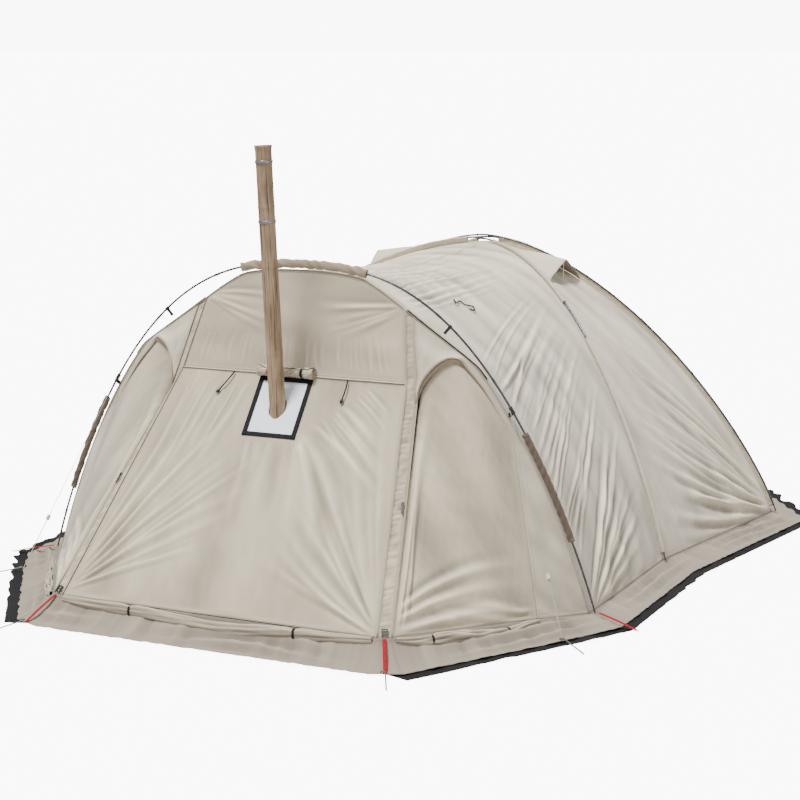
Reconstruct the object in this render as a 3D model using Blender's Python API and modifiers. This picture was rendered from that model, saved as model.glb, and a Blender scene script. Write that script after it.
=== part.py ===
"""Hot tent: a stove vestibule under one hoop pole, joined to a six-footed dome of crossing poles.

The origin is on the ground under the dome's crown, -Y faces the vestibule and +Z is up.
"""

import math

import bmesh
import bpy
import numpy as np
from mathutils import Matrix, Vector

# Driving dimensions, in metres
HOOP_HEIGHT = 1.65
HOOP_HALF_WIDTH = 1.53
HOOP_SETBACK = 2.40
HOOP_LEAN = 0.05
FRONT_DEPTH = 0.94
DOME_HEIGHT = 1.555
SIDE_REACH = 1.83
DIAGONAL_REACH_X = 1.56
DIAGONAL_REACH_Y = 1.31
REAR_REACH_X = 1.17
REAR_REACH_Y = 0.98

# Fabric, seams and skirts
FABRIC = 0.003
SEAM_GAP = 0.004
TOUCH_GAP = 0.0005
SHEET_THICKNESS = 0.003
FLY_DROP = 0.03
EDGE_SAG = 0.055
RIDGE_SAG = 0.07
SIDE_HEM_HEIGHT = 0.04
SKIRT_WIDTH = 0.18
SHEET_MARGIN = 0.06
SHEET_FRONT_WIDTH = 0.10
CROWN_RADIUS = 0.11
CROWN_CLEARANCE = 0.014
DOOR_TOP_DROP = 0.028
DOOR_TOP_BACK = 0.02
DOOR_RIM_WIDTH = 0.035
DOOR_RIM_SETBACK = -0.012

# Poles
POLE_DIAMETER = 0.011
POLE_STACK = 0.0125
FOOT_HEIGHT = 0.05
TIP_LENGTH = 0.05
SLEEVE_HALF_HEIGHT = 0.022
SLEEVE_HALF_DEPTH = 0.011
SLEEVE_WALL = 0.0015

# Vent hoods and their struts
HOOD_RISE = 0.12
HOOD_CLEARANCE = 0.010
HOOD_INSET = 0.035
HOOD_TOP_DISTANCE = 0.26
HOOD_DIAGONAL_DISTANCE = 0.74
HOOD_SIDE_DISTANCE = 0.63
STRUT_RADIUS = 0.003
STRUT_GAP = 0.004
HOOD_ROUNDING = 1.2
HOOD_FADE = 1.2

# Stove jack
JACK_WIDTH = 0.29
JACK_LENGTH = 0.332
JACK_BINDING = 0.024
JACK_THICKNESS = 0.005
JACK_GAP = 0.001
JACK_OFFSET_X = -0.02
JACK_BELOW_SEAM = 0.02
FLAP_RADIUS = 0.021
FLAP_LENGTH = 0.30
FLAP_GAP = 0.003

# Stove pipe
PIPE_RADIUS = 0.040
PIPE_WALL = 0.0015
PIPE_TOP_HEIGHT = 2.24
PIPE_HOLE_CLEARANCE = 0.006
PIPE_LEAN_DEGREES = 2.84
CLAMP_HEIGHT = 0.014
CLAMP_WALL = 0.003
CLAMP_GAP = 0.0005
CLAMP_DROPS = (0.085, 0.37)
DAMPER_HEIGHT = 0.62
DAMPER_GAP = 0.004
DAMPER_THICKNESS = 0.003
DAMPER_ROD_RADIUS = 0.003
DAMPER_HOLE_RADIUS = 0.0045
DAMPER_HANDLE_REACH = 0.075
DAMPER_KNOB_RADIUS = 0.010
DAMPER_KNOB_LENGTH = 0.03

# Stove that the pipe stands on
STOVE_WIDTH = 0.26
STOVE_LENGTH = 0.42
STOVE_BODY_HEIGHT = 0.24
STOVE_LEG_HEIGHT = 0.16
STOVE_LEG_RADIUS = 0.007
STOVE_LEG_INSET = 0.025
STOVE_WALL = 0.003
STOVE_PIPE_INSET = 0.10
STOVE_MOUTH_WIDTH = 0.18
STOVE_MOUTH_HEIGHT = 0.15
STOVE_DOOR_LAP = 0.012
STOVE_DOOR_THICKNESS = 0.005
STOVE_DOOR_GAP = 0.002
STOVE_KNOB_RADIUS = 0.010
STOVE_KNOB_LENGTH = 0.03
COLLAR_RADIUS = 0.033
COLLAR_WALL = 0.0015
COLLAR_HEIGHT = 0.03
CUT_OVERRUN = 0.01

# Straps, buckles, clips and zips
STRAP_WIDTH = 0.018
STRAP_THICKNESS = 0.0025
STRAP_GAP = 0.005
BUCKLE_WIDTH = 0.030
BUCKLE_LENGTH = 0.036
BUCKLE_THICKNESS = 0.005
BUCKLE_BAR = 0.005
BUCKLE_GAP = 0.006
CLIP_WIDTH = 0.014
CLIP_RING_WALL = 0.0035
CLIP_RING_GAP = 0.0008
CLIP_TAIL = 0.045
CLIP_TAIL_WIDTH = 0.006
ZIP_SLIDER_WIDTH = 0.014
ZIP_SLIDER_LENGTH = 0.018
ZIP_TAB_WIDTH = 0.010
ZIP_TAB_LENGTH = 0.050
ZIP_THICKNESS = 0.003
ZIP_GAP = 0.012
ZIP_INSET = 0.006
FOOT_STRAP_REACH = 0.25

# Guy lines and pegs
GUY_DIAMETER = 0.003
GUY_STRAND_GAP = 0.006
GUY_STEP = 0.03
GUY_EYE_HEIGHT = 0.022
SLIDER_RADIUS = 0.010
SLIDER_BORE = 0.0065
SLIDER_LENGTH = 0.026
PEG_LENGTH = 0.18
PEG_RADIUS = 0.0035
PEG_HOOK_RADIUS = 0.010
PEG_HEAD_HEIGHT = 0.022
PEG_LIFT = 0.0005
PEG_STRAP_GAP = 0.004

# Pole curves: height = top * (1 - share ** FULLNESS) ** SHOULDER
HOOP_FULLNESS = 2.6
HOOP_SHOULDER = 0.92
SIDE_FULLNESS = 1.7
SIDE_SHOULDER = 0.80
DIAGONAL_FULLNESS = 2.1
DIAGONAL_SHOULDER = 0.85
REAR_FULLNESS = 1.8
REAR_SHOULDER = 0.85

# Shares of the hoop's half length, from the apex to the foot
TOP_SLEEVE_SHARE = 0.145
EDGE_SAG_SHARES = (0.14, 0.45)
SHOULDER_SHARE = 0.25
STRIP_SHARE = 0.275
CLIP_SHARE = 0.345
GUY_CLIP_SHARE = 0.565
LEG_SLEEVE_SHARES = (0.615, 0.85)

# Vestibule places as shares of the hoop's half width, the front depth and the hoop's height
CORNER_SHARES = (0.5425, -1.0, 0.0727)
SEAM_SHARES = (0.3987, -0.1383, 0.6788)
STRIP_FOOT_SHARES = (0.5817, -0.9734, 0.0727)
DOOR_HINGE_FOOT_SHARES = (0.8693, -0.2415, 0.0424)
DOOR_ARCH_SHARES = (
    (0.4379, -0.1489, 0.6242),
    (0.4477, -0.1277, 0.6788),
    (0.4804, -0.0851, 0.7273),
    (0.5163, -0.0585, 0.7515),
    (0.5359, -0.0426, 0.7533),
    (0.5500, -0.0106, 0.7424),
)

# Shares of the fly edge's half length that the door's rim follows, the last at the hinge
DOOR_SHOULDER_SHARES = (0.432, 0.48, 0.52, 0.565)
DOOR_HINGE_TOP_SHARE = 0.615

EDGE_STEP_SHARE = 0.01
ZIP_SLIDER_SHARE = 0.55
STRUT_SHARE = 0.06
STRAP_START_SHARE = 0.06
PEG_NECK_SHARE = 0.12
TIP_NARROWING = 0.75
GUY_SLIDER_SHARE = 0.72

SIDES = {"left": -1.0, "right": 1.0}
POLE_POINTS = 25
UP = np.array((0.0, 0.0, 1.0))

TENT = bpy.data.collections.new("hot_tent")
CUTTERS = bpy.data.collections.new("cutters")


def clear_scene():
    """Remove the start-up objects and link the two collections."""
    for item in list(bpy.data.objects):
        bpy.data.objects.remove(item, do_unlink=True)
    for group in (TENT, CUTTERS):
        bpy.context.scene.collection.children.link(group)


def make_material(name, colour, roughness, metallic=0.0):
    """A Principled material with one colour."""
    material = bpy.data.materials.new(name)
    material.use_nodes = True
    shader = material.node_tree.nodes["Principled BSDF"]
    shader.inputs["Base Color"].default_value = (*colour, 1.0)
    shader.inputs["Roughness"].default_value = roughness
    shader.inputs["Metallic"].default_value = metallic
    return material


FLY_CLOTH = make_material("fly_cloth", (0.62, 0.56, 0.47), 0.9)
ROOF_CLOTH = make_material("roof_cloth", (0.72, 0.69, 0.62), 0.9)
SLEEVE_CLOTH = make_material("sleeve_cloth", (0.34, 0.29, 0.24), 0.85)
SHEET_CLOTH = make_material("sheet_cloth", (0.02, 0.02, 0.02), 0.6)
GLASS_CLOTH = make_material("glass_cloth", (0.85, 0.87, 0.9), 0.7)
BLACK_WEBBING = make_material("black_webbing", (0.03, 0.03, 0.035), 0.8)
RED_WEBBING = make_material("red_webbing", (0.6, 0.05, 0.05), 0.8)
POLE_METAL = make_material("pole_metal", (0.08, 0.08, 0.09), 0.35, 0.9)
PIPE_METAL = make_material("pipe_metal", (0.55, 0.40, 0.26), 0.4, 0.6)
STEEL = make_material("steel", (0.35, 0.35, 0.36), 0.35, 1.0)
STOVE_METAL = make_material("stove_metal", (0.10, 0.10, 0.11), 0.5, 0.8)
LINE_CORD = make_material("line_cord", (0.75, 0.72, 0.66), 0.8)
CLEAR_PLASTIC = make_material("pale_plastic", (0.85, 0.85, 0.83), 0.4)


def link(item, material, group=TENT):
    """Put an object into a collection with its material."""
    if material is not None:
        item.data.materials.append(material)
    group.objects.link(item)
    return item


def spot(shares, side=1.0):
    """A vestibule place from its shares, on the left or the right."""
    return np.array((
        side * shares[0] * HOOP_HALF_WIDTH,
        shares[1] * FRONT_DEPTH - HOOP_SETBACK,
        shares[2] * HOOP_HEIGHT,
    ))


def along(path, shares):
    """Points at shares of a path's length."""
    steps = np.linalg.norm(np.diff(path, axis=0), axis=1)
    reach = np.concatenate(((0.0,), np.cumsum(steps)))
    wanted = np.atleast_1d(shares) * reach[-1]
    return np.stack([np.interp(wanted, reach, path[:, axis]) for axis in range(3)], axis=-1)


def length_of(path):
    """Length of a path."""
    return float(np.linalg.norm(np.diff(path, axis=0), axis=1).sum())


def unit(vector):
    """A vector of length one."""
    return np.asarray(vector, dtype=float) / np.linalg.norm(vector)


def smooth_path(points, count):
    """A smooth curve through points, evenly stepped along its length."""
    points = np.asarray(points, dtype=float)
    padded = np.vstack((2.0 * points[0] - points[1], points, 2.0 * points[-1] - points[-2]))
    fine = np.linspace(0.0, 1.0, 12, endpoint=False)[:, None]
    pieces = []
    for start in range(len(points) - 1):
        before, first, last, after = padded[start:start + 4]
        pieces.append(0.5 * (
            2.0 * first + (last - before) * fine
            + (2.0 * before - 5.0 * first + 4.0 * last - after) * fine ** 2
            + (3.0 * first - 3.0 * last + after - before) * fine ** 3
        ))
    dense = np.vstack((*pieces, points[-1:]))
    return along(dense, np.linspace(0.0, 1.0, count))


def half_arc(reach, height, fullness, shoulder, low, first=0.0):
    """Distance from the centre and height along half a pole curve, from the top down to low."""
    last = (1.0 - (low / height) ** (1.0 / shoulder)) ** (1.0 / fullness)
    angle = np.linspace(math.asin(first / reach), math.asin(last), 96)
    share = np.sin(angle)
    rise = height * (1.0 - share ** fullness) ** shoulder
    return np.column_stack((share * reach, rise))


def hoop_half(low, drop=0.0):
    """Half the hoop's curve on +X, from the apex down to low."""
    arc = half_arc(HOOP_HALF_WIDTH - drop, HOOP_HEIGHT - drop, HOOP_FULLNESS, HOOP_SHOULDER, low)
    lean = HOOP_LEAN * (1.0 - arc[:, 1] / HOOP_HEIGHT)
    return np.column_stack((arc[:, 0], lean - HOOP_SETBACK, arc[:, 1]))


def dome_arm(foot_x, foot_y, low, drop=0.0, first=0.0):
    """One arm of a dome pole, from near the crown out to a foot."""
    reach = math.hypot(foot_x, foot_y)
    if foot_y == 0.0:
        curve = SIDE_FULLNESS, SIDE_SHOULDER
    elif foot_y > 0.0:
        curve = REAR_FULLNESS, REAR_SHOULDER
    else:
        curve = DIAGONAL_FULLNESS, DIAGONAL_SHOULDER
    arc = half_arc(reach - drop, DOME_HEIGHT - drop, *curve, low, first)
    return np.column_stack((arc[:, 0] * foot_x / reach, arc[:, 0] * foot_y / reach, arc[:, 1]))


def fly_edge():
    """The fly's edge under the right half of the hoop, from the apex to the side hem."""
    path = along(hoop_half(SIDE_HEM_HEIGHT, FLY_DROP), np.linspace(0.0, 1.0, 97))
    share = np.linspace(0.0, 1.0, len(path))
    begin, end = EDGE_SAG_SHARES
    inside = np.clip((share - begin) / (end - begin), 0.0, 1.0)
    tangent = np.gradient(path, axis=0)
    inward = np.cross(tangent, (0.0, 1.0, 0.0))
    inward /= np.linalg.norm(inward, axis=1)[:, None]
    inward *= np.where(inward[:, 2] > 0.0, -1.0, 1.0)[:, None]
    return path + inward * (EDGE_SAG * np.sin(math.pi * inside))[:, None]


FLY_EDGE = fly_edge()
FLY_ARM_START = CROWN_RADIUS + CROWN_CLEARANCE


def mirrored(path, side):
    """A path on the right, or its mirror image on the left."""
    return path * np.array((side, 1.0, 1.0))


def edge_inset(share, width):
    """The place at a share of the fly edge, moved into the wall below it by a width."""
    here, ahead = along(FLY_EDGE, (share, share + EDGE_STEP_SHARE))
    inward = unit(np.cross(ahead - here, (0.0, 1.0, 0.0)))
    inward = inward if inward[2] < 0.0 else -inward
    return here + inward * width + np.array((0.0, DOOR_RIM_SETBACK, 0.0))


def fly_arm(foot_x, foot_y):
    """The fly's seam under one dome pole arm, from the crown patch to the hem."""
    return dome_arm(foot_x, foot_y, SIDE_HEM_HEIGHT, FLY_DROP, FLY_ARM_START)


def part_of(path, first, last, count=33):
    """The stretch of a path between two shares."""
    return along(path, np.linspace(first, last, count))


def coons(bottom, top, left, right, u, v):
    """A surface through four edges: bottom and top run left to right, left and right run up."""
    low, high = along(bottom, u), along(top, u)
    near, far = along(left, v), along(right, v)
    u = u[:, None]
    v = v[:, None]
    corners = (
        (1.0 - u) * (1.0 - v) * bottom[0] + u * (1.0 - v) * bottom[-1]
        + (1.0 - u) * v * top[0] + u * v * top[-1]
    )
    return (1.0 - v) * low + v * high + (1.0 - u) * near + u * far - corners


def sheet_object(name, place, cells, material, inside, thickness=FABRIC, wrap=False):
    """A grid laid on place(u, v), turned outward from a point inside, with a wall inward."""
    mesh = bpy.data.meshes.new(name)
    grid = bmesh.new()
    bmesh.ops.create_grid(grid, x_segments=cells[0], y_segments=cells[1], size=1.0)
    flat = np.array([corner.co for corner in grid.verts])
    spots = place((flat[:, 0] + 1.0) / 2.0, (flat[:, 1] + 1.0) / 2.0)
    for corner, position in zip(grid.verts, spots):
        corner.co = position
    if wrap:
        bmesh.ops.remove_doubles(grid, verts=grid.verts, dist=SLEEVE_WALL / 4.0)
    grid.normal_update()
    centres = np.array([face.calc_center_median() for face in grid.faces])
    normals = np.array([face.normal for face in grid.faces])
    away = centres - inside(centres) if callable(inside) else centres - np.asarray(inside)
    if (normals * away).sum() < 0.0:
        bmesh.ops.reverse_faces(grid, faces=grid.faces)
    grid.to_mesh(mesh)
    grid.free()
    item = link(bpy.data.objects.new(name, mesh), material)
    wall = item.modifiers.new("wall", "SOLIDIFY")
    wall.thickness = thickness
    wall.offset = -1.0
    wall.use_even_offset = False
    mesh.shade_smooth()
    return item


def patch(name, bottom, top, left, right, cells, material, inside, gaps=(1, 1, 1, 1), thickness=FABRIC):
    """A fly panel between four edges, kept a seam gap inside those that gaps marks."""
    high = min(length_of(left), length_of(right))
    start_v, end_v = gaps[2] * SEAM_GAP / high, 1.0 - gaps[3] * SEAM_GAP / high

    def place(u, v):
        height = start_v + (end_v - start_v) * v
        span = np.linalg.norm(along(right, height) - along(left, height), axis=1)
        start_u, end_u = gaps[0] * SEAM_GAP / span, 1.0 - gaps[1] * SEAM_GAP / span
        return coons(bottom, top, left, right, start_u + (end_u - start_u) * u, height)

    return sheet_object(name, place, cells, material, inside, thickness)


def leg_path(points, cells_per_leg):
    """Straight legs between points, each cut into the same number of cells."""
    pieces = [points[0][None]]
    for first, last in zip(points[:-1], points[1:]):
        share = np.linspace(0.0, 1.0, cells_per_leg + 1)[1:, None]
        pieces.append(first + (last - first) * share)
    return np.vstack(pieces)


def strip(name, upper, lower, cells_per_leg, across, material, inside, gap=SEAM_GAP, thickness=FABRIC):
    """A band between two rows of points that keeps its corners."""
    top = leg_path([np.asarray(point, dtype=float) for point in upper], cells_per_leg)
    low = leg_path([np.asarray(point, dtype=float) for point in lower], cells_per_leg)
    margin = gap / length_of(top)
    width_margin = gap / float(np.linalg.norm(top - low, axis=1).mean())

    def place(u, v):
        station = np.clip(u, margin, 1.0 - margin) * (len(top) - 1)
        cell = np.minimum(station.astype(int), len(top) - 2)
        share = (station - cell)[:, None]
        near = top[cell] * (1.0 - share) + top[cell + 1] * share
        far = low[cell] * (1.0 - share) + low[cell + 1] * share
        cross = (width_margin + (1.0 - width_margin) * v)[:, None]
        return near * (1.0 - cross) + far * cross

    return sheet_object(name, place, (len(top) - 1, across), material, inside, thickness)


def line(*points):
    """A path of straight runs."""
    return np.array([np.asarray(point, dtype=float) for point in points])


def tube(name, points, radius, material, radii=None, resolution=2):
    """A round bar along points, with closed ends."""
    curve = bpy.data.curves.new(name, "CURVE")
    curve.dimensions = "3D"
    curve.bevel_depth = radius
    curve.bevel_resolution = resolution
    curve.use_fill_caps = True
    curve.splines.new("POLY")
    curve.splines[0].points.add(len(points) - 1)
    for index, (slot, point) in enumerate(zip(curve.splines[0].points, points)):
        slot.co = (*point, 1.0)
        slot.radius = 1.0 if radii is None else radii[index]
    return link(bpy.data.objects.new(name, curve), material)


def outline_solid(name, loops, thickness, matrix, material):
    """A flat plate with the given outline, the later loops being its holes."""
    curve = bpy.data.curves.new(name, "CURVE")
    curve.dimensions = "2D"
    curve.fill_mode = "BOTH"
    curve.extrude = thickness / 2.0
    for loop in loops:
        spline = curve.splines.new("POLY")
        spline.use_cyclic_u = True
        spline.points.add(len(loop) - 1)
        for slot, (x, y) in zip(spline.points, loop):
            slot.co = (x, y, 0.0, 1.0)
    item = link(bpy.data.objects.new(name, curve), material)
    item.matrix_world = matrix
    return item


def move_origin(item, point):
    """Put an object's origin at a point, leaving its shape where it is."""
    shift = Matrix.Translation(item.matrix_world.inverted() @ Vector(point))
    item.data.transform(shift.inverted())
    item.matrix_world = item.matrix_world @ shift


def axes_at(origin, x_axis, z_axis):
    """A placing matrix with its X along x_axis and its Z near z_axis."""
    x_axis = unit(x_axis)
    y_axis = unit(np.cross(z_axis, x_axis))
    z_axis = np.cross(x_axis, y_axis)
    matrix = Matrix.Identity(4)
    for row in range(3):
        matrix[row] = (x_axis[row], y_axis[row], z_axis[row], origin[row])
    return matrix


def box(name, size, matrix, material, group=TENT):
    """A box about the placing matrix's origin."""
    mesh = bpy.data.meshes.new(name)
    shape = bmesh.new()
    bmesh.ops.create_cube(shape, size=1.0)
    bmesh.ops.scale(shape, vec=Vector(size), verts=shape.verts)
    shape.to_mesh(mesh)
    shape.free()
    item = link(bpy.data.objects.new(name, mesh), material, group)
    item.matrix_world = matrix
    return item


def cylinder(name, radius, height, matrix, material, group=TENT, sides=32):
    """A cylinder about the placing matrix's origin, along its Z."""
    mesh = bpy.data.meshes.new(name)
    shape = bmesh.new()
    bmesh.ops.create_cone(shape, cap_ends=True, segments=sides, radius1=radius, radius2=radius, depth=height)
    shape.to_mesh(mesh)
    shape.free()
    item = link(bpy.data.objects.new(name, mesh), material, group)
    item.matrix_world = matrix
    return item


def ring_profile(name, outer, inner, height, matrix, material, segments=32):
    """A turned ring about the placing matrix's Z, standing up from its origin."""
    mesh = bpy.data.meshes.new(name)
    corners = [(outer, 0.0, height), (outer, 0.0, 0.0), (inner, 0.0, 0.0), (inner, 0.0, height)]
    mesh.from_pydata(corners, [(0, 1), (1, 2), (2, 3), (3, 0)], [])
    item = link(bpy.data.objects.new(name, mesh), material)
    item.matrix_world = matrix
    turn = item.modifiers.new("turn", "SCREW")
    turn.steps = segments
    turn.render_steps = segments
    turn.use_merge_vertices = True
    turn.merge_threshold = 0.0001
    return item


def boolean(item, other, operation):
    """Cut or join another object, which then only guides the shape."""
    change = item.modifiers.new(other.name, "BOOLEAN")
    change.object = other
    change.operation = operation
    change.solver = "EXACT"
    other.hide_render = True
    other.display_type = "WIRE"


def corner_points(side):
    """Front corner and seam end of the front panel, and its shoulder on the fly edge."""
    shoulder = mirrored(along(FLY_EDGE, SHOULDER_SHARE), side)[0]
    return spot(CORNER_SHARES, side), spot(SEAM_SHARES, side), shoulder


def strip_points(side):
    """Outer edge of the corner strip: foot, lower end of the door arch, and top."""
    top = mirrored(along(FLY_EDGE, STRIP_SHARE), side)[0]
    return spot(STRIP_FOOT_SHARES, side), spot(DOOR_ARCH_SHARES[0], side), top


def shoulder_points(side):
    """The rim's run beside the fly edge, from the arch's rear end down to the hinge's top."""
    shares = (*DOOR_SHOULDER_SHARES, DOOR_HINGE_TOP_SHARE)
    return [mirrored(edge_inset(share, DOOR_RIM_WIDTH), side) for share in shares]


def door_rim(side):
    """The fixed rim round a side door: over the arch and down to the hinge's foot."""
    arch = [spot(shares, side) for shares in DOOR_ARCH_SHARES]
    curve = smooth_path((*arch, *shoulder_points(side)), 49)
    return np.vstack((curve, spot(DOOR_HINGE_FOOT_SHARES, side)[None]))


def hem_loop():
    """The hem's corners round the tent, from the front right corner by way of the back."""
    right = [
        spot(CORNER_SHARES),
        spot(STRIP_FOOT_SHARES),
        spot(DOOR_HINGE_FOOT_SHARES),
        FLY_EDGE[-1],
        fly_arm(DIAGONAL_REACH_X, -DIAGONAL_REACH_Y)[-1],
        fly_arm(SIDE_REACH, 0.0)[-1],
        fly_arm(REAR_REACH_X, REAR_REACH_Y)[-1],
    ]
    left = [mirrored(point, -1.0) for point in reversed(right)]
    return np.array(right + left)


def offset_loop(loop, widths, height):
    """The loop moved outward by a width at each corner, at one height."""
    flat = loop[:, :2]
    ahead = np.roll(flat, -1, axis=0) - flat
    ahead /= np.linalg.norm(ahead, axis=1)[:, None]
    normal = np.column_stack((ahead[:, 1], -ahead[:, 0]))
    before = np.roll(normal, 1, axis=0)
    mitre = normal + before
    mitre /= (mitre * normal).sum(axis=1)[:, None]
    moved = flat + mitre * np.asarray(widths)[:, None]
    return np.column_stack((moved, np.full(len(moved), height)))


HEM = hem_loop()
SKIRT_FOOT = SHEET_THICKNESS + TOUCH_GAP + FABRIC
SKIRT_RIM = offset_loop(HEM, np.full(len(HEM), SKIRT_WIDTH), SKIRT_FOOT)
VESTIBULE_HEART = np.array((0.0, -HOOP_SETBACK, HOOP_HEIGHT / 3.0))
DOME_HEART = np.array((0.0, 0.0, DOME_HEIGHT / 3.0))


def tunnel_axis(centres):
    """For each point, the place on the tent's long axis abreast of it."""
    heart = np.zeros_like(centres)
    heart[:, 1] = centres[:, 1]
    heart[:, 2] = DOME_HEIGHT / 3.0
    return heart


def build_groundsheet():
    """The flat black sheet under the whole tent, a little wider than the skirts at the sides."""
    widths = np.full(len(HEM), SKIRT_WIDTH + SHEET_MARGIN)
    widths[[0, -1]] = SHEET_FRONT_WIDTH
    rim = offset_loop(HEM, widths, 0.0)
    matrix = Matrix.Translation((0.0, 0.0, SHEET_THICKNESS / 2.0))
    outline_solid("groundsheet", [[(x, y) for x, y, _ in rim]], SHEET_THICKNESS, matrix, SHEET_CLOTH)


HOOP_HALF = part_of(hoop_half(FOOT_HEIGHT), 0.0, 1.0, POLE_POINTS)


def hoop_seat(share):
    """Middle of the pole's straight run nearest a share of the half hoop, and its direction."""
    run = int(share * (len(HOOP_HALF) - 1))
    first, last = HOOP_HALF[run], HOOP_HALF[run + 1]
    return (first + last) / 2.0, unit(last - first)


def tip_radii(path):
    """Radius factors that narrow a pole at its two tips."""
    steps = np.linalg.norm(np.diff(path, axis=0), axis=1)
    reach = np.concatenate(((0.0,), np.cumsum(steps)))
    near_end = np.minimum(reach, reach[-1] - reach)
    return np.where(near_end < TIP_LENGTH, TIP_NARROWING, 1.0)


def build_poles():
    """The hoop and the three crossing dome poles, one above another at the crown."""
    hoop = np.vstack((mirrored(HOOP_HALF, -1.0)[::-1], HOOP_HALF[1:]))
    tube("hoop_pole", hoop, POLE_DIAMETER / 2.0, POLE_METAL, tip_radii(hoop))
    front, rear = (DIAGONAL_REACH_X, -DIAGONAL_REACH_Y), (REAR_REACH_X, REAR_REACH_Y)
    feet = {
        "dome_pole_lower": (front, rear, -POLE_STACK),
        "dome_pole_middle": (rear, front, 0.0),
        "side_pole_upper": ((SIDE_REACH, 0.0), (SIDE_REACH, 0.0), POLE_STACK),
    }
    for name, (right_foot, left_foot, lift) in feet.items():
        right_arm, left_arm = (
            part_of(dome_arm(*foot, FOOT_HEIGHT), 0.0, 1.0, POLE_POINTS) for foot in (right_foot, left_foot)
        )
        path = np.vstack((mirrored(left_arm, -1.0)[::-1], right_arm[1:]))
        path[:, 2] += lift * (path[:, 2] - FOOT_HEIGHT) / (DOME_HEIGHT - FOOT_HEIGHT)
        tube(name, path, POLE_DIAMETER / 2.0, POLE_METAL, tip_radii(path))


def sleeve(name, path, material):
    """A flat cloth sleeve round a stretch of the hoop pole, open at both ends."""
    count = len(path)
    tangent = np.gradient(path, axis=0)
    tangent /= np.linalg.norm(tangent, axis=1)[:, None]
    depth = np.tile(np.array((0.0, 1.0, 0.0)), (count, 1))
    rise = np.cross(tangent, depth)
    rise /= np.linalg.norm(rise, axis=1)[:, None]
    depth = np.cross(rise, tangent)

    def place(u, v):
        row = np.rint(v * (count - 1)).astype(int)
        angle = 2.0 * math.pi * u
        return (path[row] + rise[row] * (SLEEVE_HALF_HEIGHT * np.cos(angle))[:, None]
                + depth[row] * (SLEEVE_HALF_DEPTH * np.sin(angle))[:, None])

    def core(centres):
        nearest = np.linalg.norm(centres[:, None] - path[None], axis=2).argmin(axis=1)
        return path[nearest]

    sheet_object(name, place, (12, count - 1), material, core, SLEEVE_WALL, wrap=True)


def build_sleeves():
    """The sleeve over the hoop's apex and one down each leg."""
    top = part_of(HOOP_HALF, 0.0, TOP_SLEEVE_SHARE, 7)
    sleeve("hoop_top_sleeve", np.vstack((mirrored(top, -1.0)[::-1], top[1:])), ROOF_CLOTH)
    for name, side in SIDES.items():
        leg = mirrored(part_of(HOOP_HALF, *LEG_SLEEVE_SHARES, 9), side)
        sleeve("hoop_sleeve_" + name, leg, SLEEVE_CLOTH)


def jack_matrix():
    """The stove jack's plane: X across the tent, Y up the panel's slope, Z outward."""
    corner, seam, _ = corner_points(1.0)
    up_slope = unit((0.0, seam[1] - corner[1], seam[2] - corner[2]))
    outward = np.cross((1.0, 0.0, 0.0), up_slope)
    top = np.array((JACK_OFFSET_X, seam[1], seam[2])) - up_slope * JACK_BELOW_SEAM
    return axes_at(top - up_slope * JACK_LENGTH / 2.0, (1.0, 0.0, 0.0), outward)


JACK = jack_matrix()


def pipe_matrix():
    """The stove pipe's frame at the jack: Z along the leaning pipe."""
    lean = math.radians(PIPE_LEAN_DEGREES)
    centre = JACK.translation
    return Matrix.Translation(centre) @ Matrix.Rotation(-lean, 4, "Y")


PIPE = pipe_matrix()


def pipe_point(height):
    """The pipe's axis at a height above the ground."""
    axis = PIPE.to_3x3() @ Vector((0.0, 0.0, 1.0))
    return PIPE.translation + axis * ((height - PIPE.translation.z) / axis.z)


def build_front():
    """Front panel with the jack's cut-out, gable above the seam, and the corner strips."""
    left = corner_points(-1.0)
    right = corner_points(1.0)
    seam = line(left[1], right[1])
    panel = patch("front_panel", line(left[0], right[0]), seam, line(left[0], left[1]),
                  line(right[0], right[1]), (10, 6), FLY_CLOTH, VESTIBULE_HEART)
    hole = (JACK_WIDTH + 2.0 * JACK_GAP, JACK_LENGTH + 2.0 * JACK_GAP, FRONT_DEPTH / 4.0)
    boolean(panel, box("jack_cutter", hole, JACK, None, CUTTERS), "DIFFERENCE")
    edge = part_of(FLY_EDGE, 0.0, SHOULDER_SHARE)
    crest = np.vstack((mirrored(edge, -1.0)[::-1], edge[1:]))
    patch("front_gable", seam, crest, line(left[1], left[2]), line(right[1], right[2]),
          (12, 4), FLY_CLOTH, VESTIBULE_HEART)
    for name, side in SIDES.items():
        strip("corner_strip_" + name, corner_points(side), strip_points(side), 5, 1,
              FLY_CLOTH, VESTIBULE_HEART)


def build_doors():
    """Each side door and the fixed surround that hoods it."""
    for name, side in SIDES.items():
        foot, arch_foot, top = strip_points(side)
        rim = door_rim(side)
        edge = mirrored(part_of(FLY_EDGE, STRIP_SHARE, 1.0), side)
        patch("door_surround_" + name, rim, edge, line(arch_foot, top), line(rim[-1], edge[-1]),
              (18, 2), ROOF_CLOTH, VESTIBULE_HEART)
        lowered = np.array((0.0, DOOR_TOP_BACK, -DOOR_TOP_DROP))
        arch = [spot(shares, side) + lowered for shares in DOOR_ARCH_SHARES]
        shoulder = shoulder_points(side)
        fade = np.linspace(1.0, 0.0, len(shoulder))
        rear = smooth_path([point + lowered * share for point, share in zip(shoulder, fade)], 17)
        rear = np.vstack((rear, spot(DOOR_HINGE_FOOT_SHARES, side)[None]))[::-1]
        top = np.vstack((smooth_path(arch, 25), rear[-1][None]))
        door = patch("side_door_" + name, line(foot, rear[0]), top, line(foot, arch[0]), rear,
                     (7, 9), FLY_CLOTH, VESTIBULE_HEART)
        move_origin(door, rear[0])


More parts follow.
